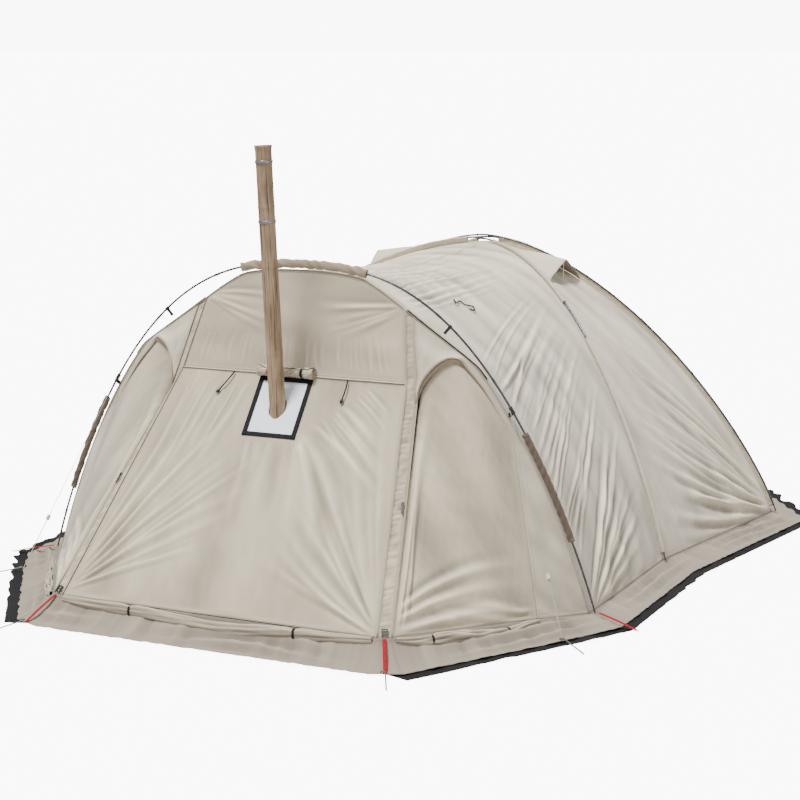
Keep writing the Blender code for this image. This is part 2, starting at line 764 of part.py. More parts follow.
def build_mid_panels():
    """The saddle between the hoop and the dome's front arms, in two halves."""
    for name, side in SIDES.items():
        arm = mirrored(fly_arm(DIAGONAL_REACH_X, -DIAGONAL_REACH_Y), side)
        ridge_end = np.array((0.0, -FLY_ARM_START, arm[0][2]))
        front = mirrored(FLY_EDGE, side)
        rear = np.vstack((ridge_end[None], arm))
        share = np.linspace(0.0, 1.0, 17)[:, None]
        ridge = front[0] + (ridge_end - front[0]) * share
        ridge[:, 2] -= (RIDGE_SAG * np.sin(math.pi * share))[:, 0]
        patch("mid_panel_" + name, ridge, line(front[-1], rear[-1]), front, rear,
              (8, 12), ROOF_CLOTH, tunnel_axis)


def build_dome():
    """The dome's side and back panels and the patch at its crown."""
    low_side = SIDE_REACH, 0.0
    for name, side in SIDES.items():
        for place, foot in (("front", (DIAGONAL_REACH_X, -DIAGONAL_REACH_Y)), ("rear", (REAR_REACH_X, REAR_REACH_Y))):
            diagonal = mirrored(fly_arm(*foot), side)[::-1]
            straight = mirrored(fly_arm(*low_side), side)[::-1]
            patch(f"dome_{place}_side_{name}", line(diagonal[0], straight[0]),
                  line(diagonal[-1], straight[-1]), diagonal, straight,
                  (5, 12), ROOF_CLOTH, DOME_HEART)
    right = fly_arm(REAR_REACH_X, REAR_REACH_Y)[::-1]
    left = mirrored(right, -1.0)
    back = np.array((0.0, FLY_ARM_START, right[-1][2]))
    patch("dome_back_panel", line(left[0], right[0]), line(left[-1], back, right[-1]), left, right,
          (10, 10), ROOF_CLOTH, DOME_HEART)
    crown = DOME_HEIGHT - FLY_DROP
    sag = crown - fly_arm(*low_side)[0][2]

    def place(u, v):
        angle = 2.0 * math.pi * u
        distance = CROWN_RADIUS * np.clip(v, 0.0, 1.0)
        return np.column_stack((distance * np.cos(angle), distance * np.sin(angle),
                                crown - sag * v ** 2))

    sheet_object("crown_patch", place, (24, 3), ROOF_CLOTH, DOME_HEART, wrap=True)


def share_at(arm, distance):
    """Share of an arm's length, from the hem, at a plan distance from the crown."""
    reach = np.hypot(arm[:, 0], arm[:, 1])
    steps = np.linalg.norm(np.diff(arm, axis=0), axis=1)
    run = np.concatenate(((0.0,), np.cumsum(steps)))
    return float(1.0 - np.interp(distance, reach, run) / run[-1])


def hood_place(side, u, v):
    """The hood's surface, risen above the dome panel most at the middle of its lower rim."""
    diagonal = fly_arm(DIAGONAL_REACH_X, -DIAGONAL_REACH_Y)
    straight = fly_arm(SIDE_REACH, 0.0)
    low = (share_at(diagonal, HOOD_DIAGONAL_DISTANCE), share_at(straight, HOOD_SIDE_DISTANCE))
    high = (share_at(diagonal, HOOD_TOP_DISTANCE), share_at(straight, HOOD_TOP_DISTANCE))
    first = mirrored(diagonal[::-1], side)
    second = mirrored(straight[::-1], side)
    low_share = low[0] + (low[1] - low[0]) * u
    high_share = high[0] + (high[1] - high[0]) * u
    share = low_share + (high_share - low_share) * v
    near, far = along(first, share), along(second, share)
    span = np.linalg.norm(far - near, axis=1)
    cross = (HOOD_INSET / span + (1.0 - 2.0 * HOOD_INSET / span) * u)[:, None]
    ground = near + (far - near) * cross
    bulge = (1.0 - np.abs(2.0 * u - 1.0) ** HOOD_ROUNDING) * (1.0 - v) ** HOOD_FADE
    return ground + UP * (HOOD_CLEARANCE + HOOD_RISE * bulge)[:, None]


def build_vents():
    """A hood over each side vent, and the strut that holds it open."""
    for name, side in SIDES.items():
        def place(u, v, side=side):
            return hood_place(side, u, v)

        sheet_object("vent_hood_" + name, place, (8, 5), ROOF_CLOTH, DOME_HEART)
        peak = hood_place(side, np.array((0.5,)), np.array((STRUT_SHARE,)))[0]
        bulge = HOOD_RISE * (1.0 - STRUT_SHARE) ** HOOD_FADE + HOOD_CLEARANCE
        foot = peak - UP * (bulge - STRUT_GAP - STRUT_RADIUS)
        head = peak - UP * (STRUT_GAP + FABRIC + STRUT_RADIUS)
        bar = np.array([foot, (foot + head) / 2.0, head])
        move_origin(tube("vent_strut_" + name, bar, STRUT_RADIUS, BLACK_WEBBING), foot)


def build_skirts():
    """The snow skirts sewn to the hem and spread on the ground, mitred at four corners."""
    count = len(HEM)
    runs = {
        "skirt_front": [count - 2, count - 1, 0, 1],
        "skirt_right": [1, 2, 3, 4, 5, 6],
        "skirt_back": [6, 7],
        "skirt_left": [7, 8, 9, 10, 11, 12],
    }
    below_hem = UP * SEAM_GAP
    for name, run in runs.items():
        upper = [HEM[index] - below_hem for index in run]
        lower = [SKIRT_RIM[index] for index in run]
        strip(name, upper, lower, 3, 2, FLY_CLOTH, tunnel_axis)


def build_jack():
    """The stove jack: a bound glass-cloth sheet with a hole for the pipe, and its rolled flap."""
    half_width, half_length = JACK_WIDTH / 2.0, JACK_LENGTH / 2.0
    inner_width, inner_length = half_width - JACK_BINDING, half_length - JACK_BINDING

    def rectangle(x, y):
        return [(-x, -y), (x, -y), (x, y), (-x, y)]

    outline_solid("jack_binding", [rectangle(half_width, half_length), rectangle(inner_width, inner_length)],
                  JACK_THICKNESS, JACK, BLACK_WEBBING)
    sheet_size = (2.0 * (inner_width - JACK_GAP), 2.0 * (inner_length - JACK_GAP), FABRIC)
    sheet = box("jack_sheet", sheet_size, JACK, GLASS_CLOTH)
    hole = cylinder("pipe_hole_cutter", PIPE_RADIUS + PIPE_HOLE_CLEARANCE, JACK_LENGTH, PIPE, None, CUTTERS)
    boolean(sheet, hole, "DIFFERENCE")
    _, seam, shoulder = corner_points(1.0)
    panel_facing = np.array(JACK.col[2][:3])
    gable_facing = unit(np.cross((1.0, 0.0, 0.0), (0.0, *(shoulder - seam)[1:])))
    between = unit(panel_facing + gable_facing)
    reach = (FLAP_RADIUS + FLAP_GAP) / float(np.dot(between, gable_facing))
    centre = np.array((JACK_OFFSET_X, seam[1], seam[2])) + between * reach
    roll_axes = axes_at(centre, (0.0, 1.0, 0.0), (1.0, 0.0, 0.0))
    roll = cylinder("jack_flap_roll", FLAP_RADIUS, FLAP_LENGTH, roll_axes, GLASS_CLOTH, sides=20)
    soften = roll.modifiers.new("soften", "BEVEL")
    soften.width = FLAP_RADIUS / 4.0
    soften.segments = 2


def build_pipe():
    """The leaning stove pipe, its two clamps, and the damper inside it."""
    stove_top = STOVE_LEG_HEIGHT + STOVE_BODY_HEIGHT
    edge_dip = PIPE_RADIUS * math.sin(math.radians(PIPE_LEAN_DEGREES))
    foot = pipe_point(stove_top + edge_dip + TOUCH_GAP)
    length = (pipe_point(PIPE_TOP_HEIGHT) - foot).length
    placed = PIPE.copy()
    placed.translation = foot
    pipe = ring_profile("stove_pipe", PIPE_RADIUS, PIPE_RADIUS - PIPE_WALL, length, placed, PIPE_METAL)
    across = Matrix.Rotation(math.pi / 2.0, 4, "X")
    rod_centre = pipe_point(DAMPER_HEIGHT)
    rod_axes = Matrix.Translation(rod_centre) @ PIPE.to_3x3().to_4x4() @ across
    bore = cylinder("damper_hole_cutter", DAMPER_HOLE_RADIUS, 3.0 * PIPE_RADIUS, rod_axes, None, CUTTERS, 16)
    boolean(pipe, bore, "DIFFERENCE")
    for name, drop in zip(("upper", "lower"), CLAMP_DROPS):
        seat = PIPE.copy()
        seat.translation = pipe_point(PIPE_TOP_HEIGHT - drop)
        inner = PIPE_RADIUS + CLAMP_GAP
        ring_profile("pipe_clamp_" + name, inner + CLAMP_WALL, inner, CLAMP_HEIGHT, seat, STEEL)
    flat = PIPE.copy()
    flat.translation = rod_centre
    plate_axes = flat @ Matrix.Rotation(math.pi / 2.0, 4, "Y")
    plate_radius = PIPE_RADIUS - PIPE_WALL - DAMPER_GAP
    plate = cylinder("pipe_damper", plate_radius, DAMPER_THICKNESS, plate_axes, STEEL, sides=24)
    reach = DAMPER_HANDLE_REACH + plate_radius
    rod_place = rod_axes @ Matrix.Translation((0.0, 0.0, (DAMPER_HANDLE_REACH - plate_radius) / 2.0 * -1.0))
    rod = cylinder("damper_rod", DAMPER_ROD_RADIUS, reach + PIPE_RADIUS, rod_place, None, CUTTERS, 12)
    boolean(plate, rod, "UNION")
    knob_drop = reach / 2.0 + DAMPER_HANDLE_REACH / 2.0
    knob_place = rod_axes @ Matrix.Translation((0.0, 0.0, -knob_drop))
    knob = cylinder("damper_knob", DAMPER_KNOB_RADIUS, DAMPER_KNOB_LENGTH, knob_place, None, CUTTERS, 16)
    boolean(plate, knob, "UNION")


def build_stove():
    """The small stove that carries the pipe: a sheet-metal box on legs with a hinged door."""
    flue = pipe_point(STOVE_LEG_HEIGHT + STOVE_BODY_HEIGHT)
    middle_y = flue.y - STOVE_PIPE_INSET + STOVE_LENGTH / 2.0
    middle_z = STOVE_LEG_HEIGHT + STOVE_BODY_HEIGHT / 2.0
    centre = Matrix.Translation((flue.x, middle_y, middle_z))
    stove = box("stove_body", (STOVE_WIDTH, STOVE_LENGTH, STOVE_BODY_HEIGHT), centre, STOVE_METAL)
    hollow_size = (STOVE_WIDTH - 2.0 * STOVE_WALL, STOVE_LENGTH - 2.0 * STOVE_WALL,
                   STOVE_BODY_HEIGHT - 2.0 * STOVE_WALL)
    boolean(stove, box("firebox_cutter", hollow_size, centre, None, CUTTERS), "DIFFERENCE")
    mouth = centre @ Matrix.Translation((0.0, STOVE_LENGTH / 2.0, 0.0))
    mouth_size = (STOVE_MOUTH_WIDTH, 2.0 * CUT_OVERRUN, STOVE_MOUTH_HEIGHT)
    boolean(stove, box("mouth_cutter", mouth_size, mouth, None, CUTTERS), "DIFFERENCE")
    collar_place = Matrix.Translation((flue.x, flue.y, flue.z + (COLLAR_HEIGHT - STOVE_WALL) / 2.0))
    collar = cylinder("collar_solid", COLLAR_RADIUS, COLLAR_HEIGHT + STOVE_WALL, collar_place, None, CUTTERS)
    boolean(stove, collar, "UNION")
    flue_bore = cylinder("flue_cutter", COLLAR_RADIUS - COLLAR_WALL, COLLAR_HEIGHT + 4.0 * CUT_OVERRUN,
                         collar_place, None, CUTTERS, 24)
    boolean(stove, flue_bore, "DIFFERENCE")
    leg_bottom = SHEET_THICKNESS + TOUCH_GAP
    leg_top = STOVE_LEG_HEIGHT + STOVE_WALL / 2.0
    for index, (x, y) in enumerate(((-1.0, -1.0), (1.0, -1.0), (1.0, 1.0), (-1.0, 1.0))):
        place = Matrix.Translation((
            flue.x + x * (STOVE_WIDTH / 2.0 - STOVE_LEG_INSET),
            middle_y + y * (STOVE_LENGTH / 2.0 - STOVE_LEG_INSET),
            (leg_top + leg_bottom) / 2.0,
        ))
        leg = cylinder(f"stove_leg_{index}", STOVE_LEG_RADIUS, leg_top - leg_bottom, place, None, CUTTERS, 12)
        boolean(stove, leg, "UNION")
    face = middle_y + STOVE_LENGTH / 2.0 + STOVE_DOOR_GAP + STOVE_DOOR_THICKNESS / 2.0
    door_size = (STOVE_MOUTH_WIDTH + 2.0 * STOVE_DOOR_LAP, STOVE_DOOR_THICKNESS,
                 STOVE_MOUTH_HEIGHT + 2.0 * STOVE_DOOR_LAP)
    door = box("stove_door", door_size, Matrix.Translation((flue.x, face, middle_z)), STOVE_METAL)
    knob_place = Matrix.Translation((
        flue.x + STOVE_MOUTH_WIDTH / 2.0 - STOVE_DOOR_LAP,
        face + (STOVE_DOOR_THICKNESS + STOVE_KNOB_LENGTH) / 2.0 - STOVE_DOOR_THICKNESS / 4.0,
        middle_z,
    )) @ Matrix.Rotation(math.pi / 2.0, 4, "X")
    knob = cylinder("stove_knob", STOVE_KNOB_RADIUS, STOVE_KNOB_LENGTH, knob_place, None, CUTTERS, 16)
    boolean(door, knob, "UNION")
    move_origin(door, (flue.x - door_size[0] / 2.0, face, middle_z))


def ribbon(name, start, end, across, outward, material, width=STRAP_WIDTH):
    """A flat strap between two points, its wall standing outward."""
    half = unit(across) * width / 2.0
    rise = unit(outward) * STRAP_THICKNESS
    place_edges = (line(start - half + rise, end - half + rise), line(start + half + rise, end + half + rise))

    def place(u, v):
        near, far = along(place_edges[0], u), along(place_edges[1], u)
        return near + (far - near) * v[:, None]

    middle = (np.asarray(start) + np.asarray(end)) / 2.0 - unit(outward) * width
    sheet_object(name, place, (2, 1), material, middle, STRAP_THICKNESS)


def build_corner_hardware():
    """Ladder buckle, red strap and peg at each front corner."""
    for name, side in SIDES.items():
        corner, seam, _ = corner_points(side)
        foot, arch_foot, _ = strip_points(side)
        hem_middle = (corner + foot) / 2.0
        across = foot - corner
        upward = unit((seam + arch_foot) / 2.0 - hem_middle)
        outward = unit(np.cross(across, upward))
        outward = outward if np.dot(outward, hem_middle - VESTIBULE_HEART) > 0.0 else -outward
        place = hem_middle + upward * (BUCKLE_LENGTH / 2.0 + SEAM_GAP) + outward * BUCKLE_GAP
        bar = BUCKLE_BAR
        half_width, half_length = BUCKLE_WIDTH / 2.0, BUCKLE_LENGTH / 2.0
        slot_width = half_width - bar
        slot = half_length - bar - bar / 2.0

        def loop(x_low, x_high, y_low, y_high):
            return [(x_low, y_low), (x_high, y_low), (x_high, y_high), (x_low, y_high)]

        loops = [
            loop(-half_width, half_width, -half_length, half_length),
            loop(-slot_width, slot_width, bar / 2.0, bar / 2.0 + slot),
            loop(-slot_width, slot_width, -bar / 2.0 - slot, -bar / 2.0),
        ]
        outline_solid("corner_buckle_" + name, loops, BUCKLE_THICKNESS,
                      axes_at(place, across, outward), BLACK_WEBBING)
        rim = (SKIRT_RIM[0] + SKIRT_RIM[1]) / 2.0 * np.array((side, 1.0, 1.0))
        facing = unit(np.cross(across, rim - hem_middle))
        facing = facing if facing[2] > 0.0 else -facing
        lift = facing * STRAP_GAP
        start = hem_middle + (rim - hem_middle) * STRAP_START_SHARE + lift
        end = rim + lift
        ribbon("corner_strap_" + name, start, end, across, facing, RED_WEBBING)
        away = unit((rim - hem_middle) * np.array((1.0, 1.0, 0.0)))
        head = rim + away * (PEG_HOOK_RADIUS + PEG_STRAP_GAP)
        build_peg("corner_peg_" + name, head, away)


def build_peg(name, head, away):
    """A round steel peg with a hooked head, laid along the ground away from its loop."""
    across = np.array((-away[1], away[0], 0.0))
    tip = np.array((*(head + away * PEG_LENGTH)[:2], PEG_RADIUS + PEG_LIFT))
    top = np.array((*head[:2], PEG_HEAD_HEIGHT + PEG_RADIUS))
    angle = np.linspace(math.pi / 2.0, -math.pi * 0.75, 10)[:, None]
    centre = top - across * PEG_HOOK_RADIUS
    hook = (centre + across * PEG_HOOK_RADIUS * np.sin(angle)
            - away * PEG_HOOK_RADIUS * np.cos(angle))
    shaft = top + (tip - top) * np.linspace(1.0, PEG_NECK_SHARE, 5)[:, None]
    tube(name, np.vstack((shaft, hook)), PEG_RADIUS, STEEL)


def build_foot_straps():
    """A strap from each hoop foot out over the skirt to the ground."""
    for name, side in SIDES.items():
        foot = mirrored(HOOP_HALF[-1], side)
        rim = mirrored(SKIRT_RIM[3], side)
        inner = np.array((foot[0] + side * POLE_DIAMETER, foot[1], foot[2]))
        out = unit((rim - foot) * np.array((1.0, 1.0, 0.0)))
        end = foot + out * FOOT_STRAP_REACH
        end[2] = SKIRT_FOOT + STRAP_GAP
        start = inner + out * POLE_DIAMETER
        across = np.array((-out[1], out[0], 0.0))
        facing = np.cross(across, end - start)
        facing = facing if facing[2] > 0.0 else -facing
        ribbon("hoop_foot_strap_" + name, start, end, across, facing, BLACK_WEBBING)


def build_clips():
    """A clip on each side that hangs the fly edge from the hoop pole."""
    sides = 16
    for name, side in SIDES.items():
        centre, tangent = (mirrored(item, side) for item in hoop_seat(CLIP_SHARE))
        inward = unit(np.cross(tangent, (0.0, 1.0, 0.0)))
        inward = inward if inward[2] < 0.0 else -inward
        bore = POLE_DIAMETER / 2.0 + CLIP_RING_GAP
        outer = bore + CLIP_RING_WALL
        open_angle = math.asin(CLIP_TAIL_WIDTH / 2.0 / outer)
        turn = np.linspace(open_angle, 2.0 * math.pi - open_angle, sides + 1)
        ring = [(outer * math.cos(angle), outer * math.sin(angle)) for angle in turn]
        tail = [(CLIP_TAIL, -CLIP_TAIL_WIDTH / 2.0), (CLIP_TAIL, CLIP_TAIL_WIDTH / 2.0)]
        angles = np.linspace(0.0, 2.0 * math.pi, sides, endpoint=False)
        hole = [(bore * math.cos(angle), bore * math.sin(angle)) for angle in angles]
        outline_solid("hoop_clip_" + name, [ring + tail, hole], CLIP_WIDTH,
                      axes_at(centre, inward, tangent), BLACK_WEBBING)


def build_zips():
    """The zip slider of each side door, on the corner strip's outer edge."""
    for name, side in SIDES.items():
        foot, arch_foot, _ = strip_points(side)
        along_zip = unit(arch_foot - foot)
        inner = spot(CORNER_SHARES, side)
        outward = unit(np.cross(foot - inner, along_zip))
        outward = outward if np.dot(outward, foot - VESTIBULE_HEART) > 0.0 else -outward
        inward = unit(inner - foot)
        centre = foot + (arch_foot - foot) * ZIP_SLIDER_SHARE + outward * ZIP_GAP
        centre = centre + inward * (ZIP_SLIDER_WIDTH / 2.0 + ZIP_INSET)
        half = ZIP_SLIDER_WIDTH / 2.0
        tab = ZIP_TAB_WIDTH / 2.0
        loop = [
            (-ZIP_SLIDER_LENGTH / 2.0, -half), (ZIP_SLIDER_LENGTH / 2.0, -half),
            (ZIP_SLIDER_LENGTH / 2.0, -tab / 2.0), (ZIP_SLIDER_LENGTH, -tab),
            (ZIP_TAB_LENGTH, -tab), (ZIP_TAB_LENGTH, tab), (ZIP_SLIDER_LENGTH, tab),
            (ZIP_SLIDER_LENGTH / 2.0, tab / 2.0), (ZIP_SLIDER_LENGTH / 2.0, half),
            (-ZIP_SLIDER_LENGTH / 2.0, half),
        ]
        outline_solid("zip_slider_" + name, [loop], ZIP_THICKNESS,
                      axes_at(centre, -along_zip, outward), BLACK_WEBBING)


def guy_points(side):
    """Upper end, peg eye and run direction of one front guy line."""
    top = mirrored(hoop_seat(GUY_CLIP_SHARE)[0], side)
    top = top + np.array((0.0, -(POLE_DIAMETER + GUY_DIAMETER), 0.0))
    rim = mirrored(SKIRT_RIM[2], side)
    eye = np.array((rim[0], rim[1], GUY_EYE_HEIGHT))
    return top, eye


def build_guy_lines():
    """Each front guy line doubled back through its slider, with the slider and the peg."""
    for name, side in SIDES.items():
        top, eye = guy_points(side)
        run = unit(eye - top)
        across = unit(np.cross(run, UP))
        length = float(np.linalg.norm(eye - top))
        steps = max(int(length / GUY_STEP), 2)
        half_gap = across * GUY_STRAND_GAP / 2.0
        down = top + half_gap + (eye - top) * np.linspace(0.0, 1.0, steps)[:, None]
        angle = np.linspace(0.0, math.pi, 6)[1:-1, None]
        turn = eye + half_gap * np.cos(angle) + run * (GUY_STRAND_GAP / 2.0) * np.sin(angle)
        back_share = 1.0 - GUY_SLIDER_SHARE + SLIDER_LENGTH / length
        back = eye - half_gap - (eye - top) * np.linspace(0.0, back_share, steps // 3)[:, None]
        tube("guy_line_" + name, np.vstack((down, turn, back)), GUY_DIAMETER / 2.0, LINE_CORD)
        seat = axes_at(top + (eye - top) * GUY_SLIDER_SHARE, across, run)
        ring_profile("guy_slider_" + name, SLIDER_RADIUS, SLIDER_BORE, SLIDER_LENGTH, seat,
                     CLEAR_PLASTIC, 16)
        away = unit(run * np.array((1.0, 1.0, 0.0)))
        head = eye + away * (PEG_HOOK_RADIUS + PEG_STRAP_GAP)
        build_peg("guy_peg_" + name, head, away)


def build():
    """Model the whole tent."""
    clear_scene()
    build_groundsheet()
    build_poles()
    build_sleeves()
    build_front()
    build_doors()
    build_mid_panels()
    build_dome()
    build_vents()
    build_skirts()
    build_jack()
    build_pipe()
    build_stove()
    build_corner_hardware()
    build_foot_straps()
    build_clips()
    build_zips()
    build_guy_lines()


build()
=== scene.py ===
"""Hot tent: a stove vestibule under a hoop pole, joined to a dome of three crossing poles.

The frame gives the fixed model. The classes below lay cloth, poles, webbing and metal over it,
in metres, with the origin on the ground under the dome's crown and -Y towards the vestibule.
"""

import logging
import math
from contextlib import contextmanager
from dataclasses import dataclass, field
from enum import Enum
from functools import cached_property
from typing import Callable, Iterator, Optional, Sequence

import bmesh
import bpy
import numpy as np
from mathutils import Matrix, Vector


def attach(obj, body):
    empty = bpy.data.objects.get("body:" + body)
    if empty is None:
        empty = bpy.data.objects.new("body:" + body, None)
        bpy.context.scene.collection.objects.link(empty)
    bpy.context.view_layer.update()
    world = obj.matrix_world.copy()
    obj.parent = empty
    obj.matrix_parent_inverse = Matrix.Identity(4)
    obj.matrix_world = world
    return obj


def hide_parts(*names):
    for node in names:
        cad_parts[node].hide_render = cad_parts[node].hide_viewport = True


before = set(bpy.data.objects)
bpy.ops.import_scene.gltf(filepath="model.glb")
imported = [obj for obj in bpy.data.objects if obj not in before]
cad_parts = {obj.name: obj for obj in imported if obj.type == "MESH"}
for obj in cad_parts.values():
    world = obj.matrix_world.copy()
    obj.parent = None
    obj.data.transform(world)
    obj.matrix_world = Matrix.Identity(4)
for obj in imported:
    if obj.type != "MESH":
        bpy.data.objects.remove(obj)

LOG = logging.getLogger("hot_tent")
Array = np.ndarray
Item = bpy.types.Object
Point = Sequence[float]
Socket = bpy.types.NodeSocket
X_AXIS, Y_AXIS, UP = np.eye(3)
FULL_TURN = 2.0 * math.pi
SIDES = {"left": -1.0, "right": 1.0}


class Body(Enum):
    """Bodies of the model that pieces ride on, besides the two doors."""

    TENT = "tent"
    PIPE = "pipe"


class Hold(Enum):
    """How a sheet of cloth is held."""

    STRETCHED = "stretched"
    LAID = "laid"
    HUNG = "hung"
    GATHERED = "gathered"


# Arrays and curves


def unit(vector: Point) -> Array:
    """Return the vector at length one."""
    vector = np.asarray(vector, dtype=float)
    return vector / np.linalg.norm(vector)


def rows_unit(rows: Array) -> Array:
    """Return every row at length one."""
    return rows / np.maximum(np.linalg.norm(rows, axis=-1, keepdims=True), 1e-12)


def smoothstep(value: Array) -> Array:
    """Ease from 0 to 1: three times the square less twice the cube of the clipped value."""
    value = np.clip(value, 0.0, 1.0)
    return value * value * (3.0 - 2.0 * value)


def length_of(path: Array) -> float:
    """Return a path's length in metres."""
    return float(np.linalg.norm(np.diff(path, axis=0), axis=1).sum())


def reach_of(path: Array) -> Array:
    """Return how far along a path each of its points is."""
    return np.concatenate(((0.0,), np.cumsum(np.linalg.norm(np.diff(path, axis=0), axis=1))))


def along(path: Array, shares: Array | Point | float) -> Array:
    """Find points on a path.

    Args:
        path: Rows of points in metres.
        shares: Shares of the path's length, from 0 to 1.

    Returns:
        One point for each share, by straight interpolation over arc length.
    """
    reach = reach_of(path)
    wanted = np.atleast_1d(shares) * reach[-1]
    return np.stack([np.interp(wanted, reach, path[:, axis]) for axis in range(3)], axis=-1)


def share_where(path: Array, x: float) -> float:
    """Return the share of its length at which a path that runs outward reaches an X."""
    reach = reach_of(path)
    return float(np.interp(x, path[:, 0], reach) / reach[-1])


def stretch_of(path: Array, first: float = 0.0, last: float = 1.0, count: int = 65) -> Array:
    """Return the run of a path between two shares of its length, in even steps."""
    return along(path, np.linspace(first, last, count))


def mirrored(path: Array | Point, side: float) -> Array:
    """Return a path on the right, or its mirror image on the left."""
    return np.asarray(path, dtype=float) * np.array((side, 1.0, 1.0))


def arched(right: Array, left: Optional[Array] = None) -> Array:
    """Join two halves that start at the middle, the left one given as its mirror image."""
    return np.vstack((mirrored(right if left is None else left, -1.0)[::-1], right[1:]))


def turned(vector: Array, toward: Array) -> Array:
    """Return the vector, or its opposite where it points against a direction."""
    return vector if vector @ toward > 0.0 else -vector


def line(*points: Point) -> Array:
    """Return a path of straight runs through the points."""
    return np.array([np.asarray(point, dtype=float) for point in points])


def smooth_path(points: Sequence[Point], count: int) -> Array:
    """Run a smooth curve through points.

    Args:
        points: The points it passes through.
        count: How many points come back, evenly stepped along its length.

    Returns:
        The curve. Between two neighbours it is the cubic whose slope at each point is half the
        step from the point before to the point after.
    """
    points = np.asarray(points, dtype=float)
    padded = np.vstack((2.0 * points[0] - points[1], points, 2.0 * points[-1] - points[-2]))
    share = np.linspace(0.0, 1.0, 16, endpoint=False)[None, :, None]
    before, first = padded[:-3, None], padded[1:-2, None]
    last, after = padded[2:-1, None], padded[3:, None]
    runs = 0.5 * (
        2.0 * first + (last - before) * share
        + (2.0 * before - 5.0 * first + 4.0 * last - after) * share ** 2
        + (3.0 * first - 3.0 * last + after - before) * share ** 3
    )
    return stretch_of(np.vstack((runs.reshape(-1, 3), points[-1:])), count=count)


def coons(bottom: Array, top: Array, left: Array, right: Array, u: Array, v: Array) -> Array:
    """Fill four edges with a surface.

    Each point is the blend of bottom and top at its height, plus the blend of left and right at
    its width, less the bilinear blend of the four corners.

    Args:
        bottom: Lower edge, left to right.
        top: Upper edge, left to right.
        left: Left edge, upwards.
        right: Right edge, upwards.
        u: Shares across.
        v: Shares up.

    Returns:
        One point for each pair of shares.
    """
    low, high = along(bottom, u), along(top, u)
    near, far = along(left, v), along(right, v)
    u, v = u[:, None], v[:, None]
    corners = (
        (1.0 - u) * (1.0 - v) * bottom[0] + u * (1.0 - v) * bottom[-1]
        + (1.0 - u) * v * top[0] + u * v * top[-1]
    )
    return (1.0 - v) * low + v * high + (1.0 - u) * near + u * far - corners


# The tent's lines


@dataclass(frozen=True)
class PoleArc:
    """Half a pole's curve: height is top * (1 - share ** fullness) ** shoulder."""

    reach: float
    height: float
    fullness: float
    shoulder: float

    def half(self, low: float, first: float = 0.0) -> Array:
        """Trace the curve.

        Args:
            low: Height at which it stops.
            first: Distance from the centre at which it starts.

        Returns:
            Rows of distance and height.
        """
        last = (1.0 - (low / self.height) ** (1.0 / self.shoulder)) ** (1.0 / self.fullness)
        share = np.sin(np.linspace(math.asin(first / self.reach), math.asin(last), 160))
        rise = self.height * (1.0 - share ** self.fullness) ** self.shoulder
        return np.column_stack((share * self.reach, rise))


